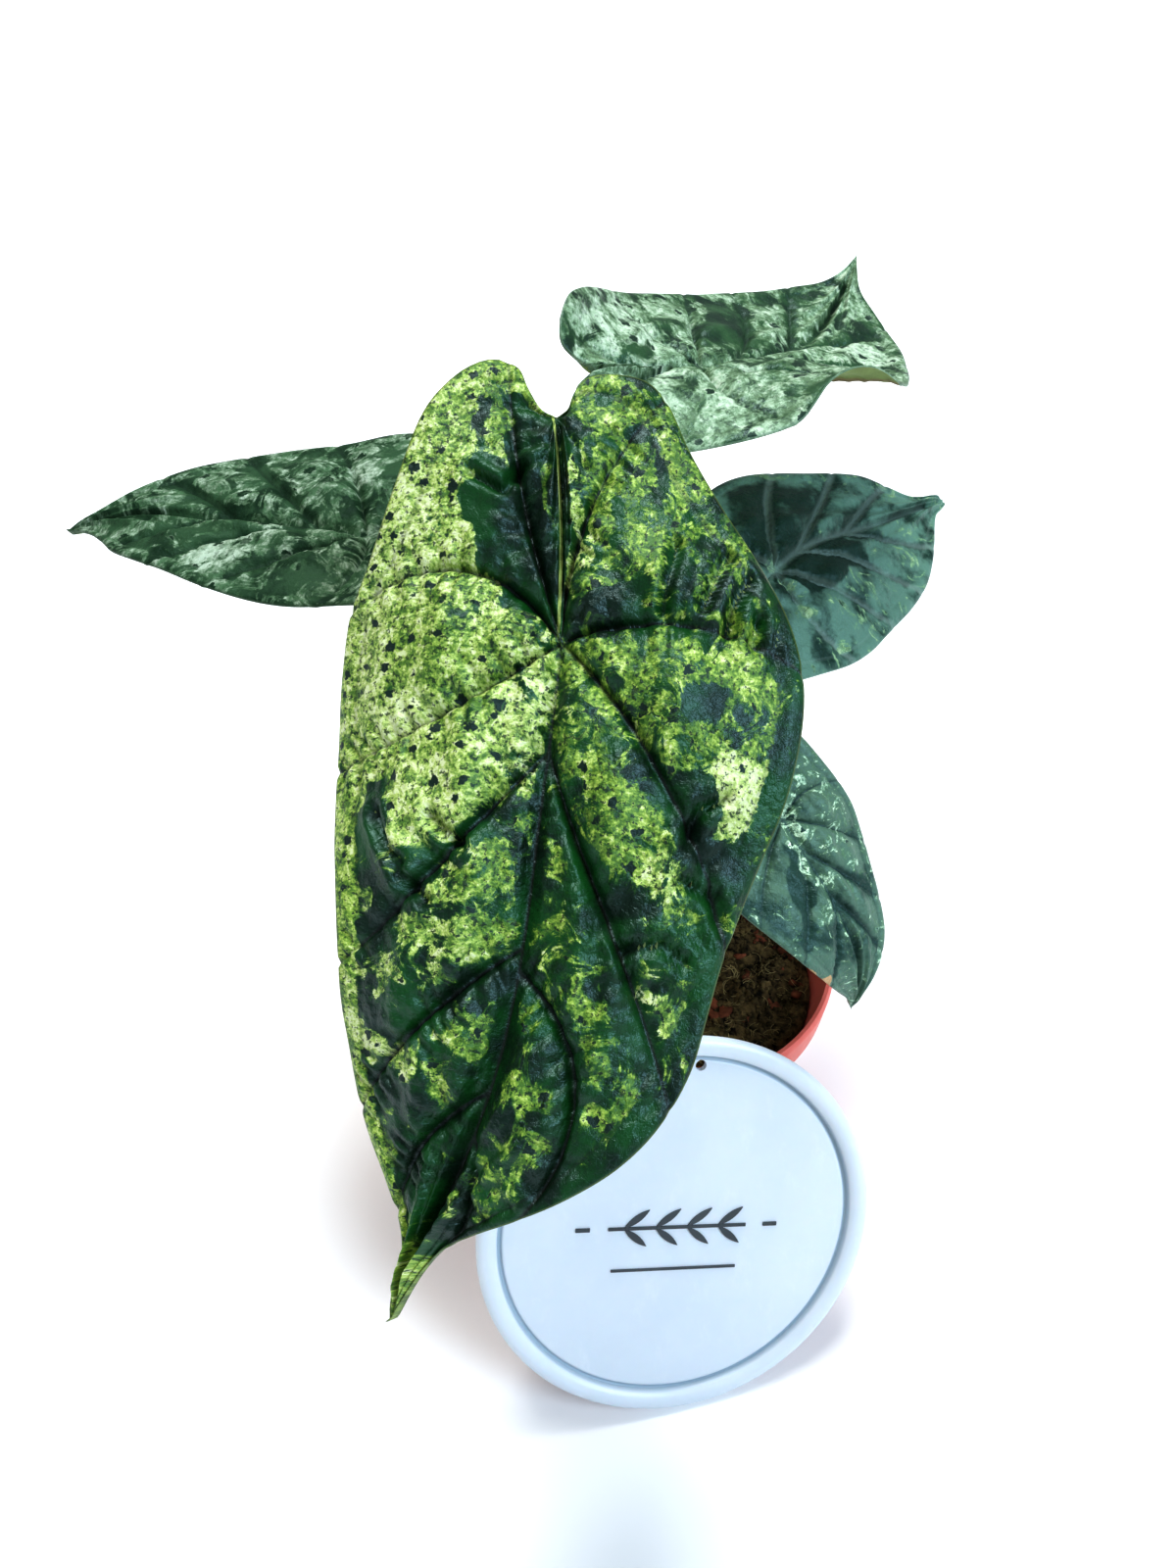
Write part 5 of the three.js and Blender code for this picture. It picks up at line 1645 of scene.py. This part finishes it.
# %% [markdown]
# Potting mix for aroids is open and chunky: dark peat with bark chips, coconut fibre and some
# moss on top. The mix itself is one lumpy surface. The chips, crumbs and fibres are scattered
# over it by Geometry Nodes, with a fixed seed, so each run lays them the same way.

# %% Potting mix
SOIL_FLOOR = 3.8
SOIL_SEGMENTS = 132
SOIL_RINGS = 66
SOIL_LEVEL_TO = 51
SOIL_EDGE_DROP = 2
WALL_GAP = 0.45
OPEN_GROUND = 49.5


def soil_height(x, y):
    bumps = np.sin(x * 0.31 + 1) * np.cos(y * 0.27) + np.sin(x * 0.13 - y * 0.21 + 2)
    grit = np.sin(x * 1.7 + y * 0.9) * np.cos(y * 1.9 - x * 0.6)
    heap = 2.5 * np.exp(-(x * x + y * y) / 500)
    lumps = 2.2 * lattice(x + 200, y + 200, 4.3, 31) + 1.2 * lattice(x + 200, y + 200, 1.9, 32)
    return SOIL_TOP + 1.1 * bumps + 0.5 * grit + heap + lumps


def pot_inside(z):
    low, high = BASE_RADIUS - POT_WALL, RIM_RADIUS - 6
    return low + (high - low) * (z - POT_FLOOR) / (POT_HEIGHT - BAND_HEIGHT - 4.9)


def soil_skin():
    material, tree, skin = start_material("moist peat and bark mix")
    place = add(tree, "ShaderNodeTexCoord", out="Object")
    clump = add(tree, NOISE, {"Vector": place, "Scale": 260, "Detail": 8, "Roughness": 0.7}, 0)
    dry = add(tree, MAP_RANGE, {0: clump, 1: 0.38, 2: 0.68}, 0)
    moss = add(tree, NOISE, {"Vector": place, "Scale": 60, "Detail": 5}, 0)
    moss = add(tree, MAP_RANGE, {0: moss, 1: 0.56, 2: 0.66, 4: 0.5}, 0, **SMOOTH)
    coats = [(dry, linear("7a6744")), (moss, linear("4a4628"))]
    bump = add(tree, "ShaderNodeBump", {"Height": clump, "Distance": 1.2 * MM, "Strength": 0.9}, 0)
    join_inputs(tree, skin, {
        "Base Color": painted_over(tree, linear("0c0805"), coats), "Roughness": 0.95,
        "Normal": bump, "IOR": 1.2,
    })
    return material


rim = pot_inside(SOIL_TOP - SOIL_EDGE_DROP) - WALL_GAP
radii = np.append(np.linspace(0, SOIL_LEVEL_TO, SOIL_RINGS), rim)
angle = np.linspace(0, 2 * np.pi, SOIL_SEGMENTS, endpoint=False)
xs, ys = radii[:, None] * np.cos(angle), radii[:, None] * np.sin(angle)
zs = soil_height(xs, ys)
zs[-1] = SOIL_TOP - SOIL_EDGE_DROP
foot = pot_inside(SOIL_FLOOR) - WALL_GAP
low = np.stack([foot * np.cos(angle), foot * np.sin(angle), np.full_like(angle, SOIL_FLOOR)], axis=1)
places = np.vstack([np.stack([xs, ys, zs], axis=-1)[1:].reshape(-1, 3), low])
centre_top, centre_foot = len(places), len(places) + 1
crown_height = soil_height(np.zeros(1), np.zeros(1))[0]
places = np.vstack([places, [(0, 0, crown_height), (0, 0, SOIL_FLOOR)]])
faces = []
rings = len(radii)
for k in range(SOIL_SEGMENTS):
    n = (k + 1) % SOIL_SEGMENTS
    faces.append((centre_top, k, n))
    for i in range(rings - 1):
        a, b = i * SOIL_SEGMENTS, (i + 1) * SOIL_SEGMENTS
        faces.append((a + k, b + k, b + n, a + n))
    last = (rings - 1) * SOIL_SEGMENTS
    faces.append((centre_foot, last + n, last + k))
soil = piece_from("potting_mix", (places * MM).tolist(), faces, [soil_skin()])
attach(soil, "root")
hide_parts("soil")
open_ground = [
    face for face in faces
    if np.hypot(*places[list(face)][:, :2].T).max() < OPEN_GROUND and centre_foot not in face
]
print("soil", len(soil.data.polygons), "faces, of which open ground", len(open_ground))

# %% [markdown]
# Each kind of bit has a tree of its own: it spreads points over the mix, puts a rough lump or a
# curled fibre on each, stretched by its own sizes and turned at random, and makes the copies
# real. Only the open ground is used, so nothing is scattered on the skirt inside the pot or
# through its wall.


# %% Scatter tree for chips and crumbs
def scatter_tree(name, material, curl):
    tree = bpy.data.node_groups.new(name, "GeometryNodeTree")
    face = tree.interface
    face.new_socket("Surface", in_out="INPUT", socket_type="NodeSocketGeometry")
    face.new_socket("Density", in_out="INPUT", socket_type="NodeSocketFloat")
    face.new_socket("Size", in_out="INPUT", socket_type="NodeSocketVector")
    face.new_socket("Seed", in_out="INPUT", socket_type="NodeSocketInt")
    face.new_socket("Bits", in_out="OUTPUT", socket_type="NodeSocketGeometry")
    entry = add(tree, "NodeGroupInput")
    points = add(tree, "GeometryNodeDistributePointsOnFaces", {
        "Mesh": entry.outputs["Surface"], "Density": entry.outputs["Density"],
        "Seed": entry.outputs["Seed"],
    }, 0)
    if curl:
        arc = add(tree, "GeometryNodeCurveArc", {
            "Resolution": 7, "Radius": 0.5, "Sweep Angle": math.radians(curl),
        }, 0, mode="RADIUS")
        ring = add(tree, "GeometryNodeCurvePrimitiveCircle", {"Resolution": 4, "Radius": 0.025}, 0)
        lump = add(tree, "GeometryNodeCurveToMesh", {
            "Curve": arc, "Profile Curve": ring, "Fill Caps": True,
        }, 0)
    else:
        ball = add(tree, "GeometryNodeMeshIcoSphere", {"Radius": 0.5, "Subdivisions": 2}, 0)
        rough = add(tree, NOISE, {"Scale": 1.9, "Detail": 2}, 1)
        shift = add(tree, VECTOR_MATH, {0: rough, 1: (0.5, 0.5, 0.5)}, 0, operation="SUBTRACT")
        shift = add(tree, VECTOR_MATH, {0: shift, 3: 1.1}, 0, operation="SCALE")
        lump = add(tree, "GeometryNodeSetPosition", {"Geometry": ball, "Offset": shift}, 0)
    spin = add(tree, "FunctionNodeRandomValue", {
        0: (-0.6, -0.6, 0.0), 1: (0.6, 0.6, 6.283), "Seed": entry.outputs["Seed"],
    }, 0, data_type="FLOAT_VECTOR")
    grow = add(tree, "FunctionNodeRandomValue", {2: 0.45, 3: 1.3, "Seed": entry.outputs["Seed"]}, 1)
    scale = add(tree, VECTOR_MATH, {0: entry.outputs["Size"], 3: grow}, 0, operation="SCALE")
    copies = add(tree, "GeometryNodeInstanceOnPoints", {
        "Points": points, "Instance": lump, "Rotation": spin, "Scale": scale,
    }, 0)
    real = add(tree, "GeometryNodeRealizeInstances", {"Geometry": copies}, 0)
    dressed = add(tree, "GeometryNodeSetMaterial", {"Geometry": real, "Material": material}, 0)
    add(tree, "NodeGroupOutput", {"Bits": dressed})
    return tree


def scatter(name, tree, density, size, seed):
    holder = piece_from(name + "_maker", (places * MM).tolist(), open_ground, [])
    maker = holder.modifiers.new("scatter", "NODES")
    maker.node_group = tree
    sizes = {"Density": density, "Size": [v * MM for v in size], "Seed": seed}
    for socket in tree.interface.items_tree:
        if socket.name in sizes:
            maker[socket.identifier] = sizes[socket.name]
    depsgraph = bpy.context.evaluated_depsgraph_get()
    mesh = bpy.data.meshes.new_from_object(holder.evaluated_get(depsgraph))
    bpy.data.objects.remove(holder)
    mesh.polygons.foreach_set("use_smooth", [True] * len(mesh.polygons))
    piece = bpy.data.objects.new(name, mesh)
    bpy.context.scene.collection.objects.link(piece)
    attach(piece, "root")
    print(name, len(mesh.polygons), "faces")


# %% Scatter bark, crumbs and fibres
def bit_skin(name, dark, light, size_mm):
    material, tree, skin = start_material(name)
    place = add(tree, "ShaderNodeTexCoord", out="Object")
    mottle = add(tree, NOISE, {"Vector": place, "Scale": 1 / (size_mm * MM), "Detail": 6}, 0)
    dry = add(tree, MAP_RANGE, {0: mottle, 1: 0.35, 2: 0.65}, 0)
    bump = add(tree, "ShaderNodeBump", {"Height": mottle, "Distance": 0.5 * MM, "Strength": 0.8}, 0)
    join_inputs(tree, skin, {
        "Base Color": painted_over(tree, dark, [(dry, light)]), "Roughness": 0.95,
        "Normal": bump, "IOR": 1.2,
    })
    return material


bark = bit_skin("composted bark", linear("2b180e"), linear("85503a"), 5)
peat = bit_skin("peat crumbs", linear("0e0a05"), linear("645638"), 4)
fibre = bit_skin("coconut fibre", linear("5a4e32"), linear("a3946a"), 12)
scatter("bark_chips", scatter_tree("bark scatter", bark, 0), 11000, (6.0, 3.4, 2.2), 4)
scatter("peat_crumbs", scatter_tree("crumb scatter", peat, 0), 150000, (2.4, 2.0, 1.6), 9)
scatter("coir_fibres", scatter_tree("fibre scatter", fibre, 130), 130000, (6.0, 6.0, 3.0), 2)

# %% [markdown]
# The photograph has a white background, so the floor is plain and nearly white and the light is
# soft. One broad light comes from nearly overhead, a little behind the plant, and models the
# quilting. One comes from the front right, bluish as from a window, and gives the waxy skin its
# silvery glints. Colours go to the screen without a film curve, with the deep shadows and the
# high contrast of a phone picture.

# %% Floor and light
HALF_FLOOR = 12.0
floor_material, floor_tree, floor_skin = start_material("plain matt white floor")
join_inputs(floor_tree, floor_skin, {"Base Color": linear("f4f4f4"), "Roughness": 0.9})
floor_corners = [(x * HALF_FLOOR, y * HALF_FLOOR, 0) for x, y in ((-1, -1), (1, -1), (1, 1), (-1, 1))]
floor = piece_from("floor", floor_corners, [(0, 1, 2, 3)], [floor_material])

world = bpy.data.worlds.new("studio")
world.use_nodes = True
sky = world.node_tree
background = next(n for n in sky.nodes if n.type == "BACKGROUND")
way = add(sky, "ShaderNodeTexCoord", out="Generated")
up = add(sky, "ShaderNodeSeparateXYZ", {0: way}, 2)
glow = add(sky, MAP_RANGE, {0: up, 1: -0.1, 2: 0.9, 3: 0.2, 4: 0.4}, 0)
seen = add(sky, "ShaderNodeLightPath", out="Is Camera Ray")
glow = add(sky, MIX, {0: seen, 2: glow, 3: 1.15}, 0)
join_inputs(sky, background, {"Color": linear("f4f8ff"), "Strength": glow})
bpy.context.scene.world = world
picture = bpy.context.scene.view_settings
picture.view_transform = "Standard"
picture.exposure = 0.38
picture.gamma = 0.78


def broad_light(name, comes_from, strength, wide, colour):
    data = bpy.data.lights.new(name, "SUN")
    data.energy = strength
    data.color = linear(colour)[:3]
    data.angle = math.radians(wide)
    item = bpy.data.objects.new(name, data)
    item.rotation_euler = Vector(comes_from).to_track_quat("Z", "Y").to_euler()
    bpy.context.scene.collection.objects.link(item)


broad_light("high light", (-0.10, 0.24, 0.95), 2.35, 24, "fffefa")
broad_light("window light", (0.66, -0.42, 0.62), 2.0, 28, "d5e7f7")
print("floor", 2 * HALF_FLOOR, "m wide, exposure", picture.exposure, "and gamma", picture.gamma)
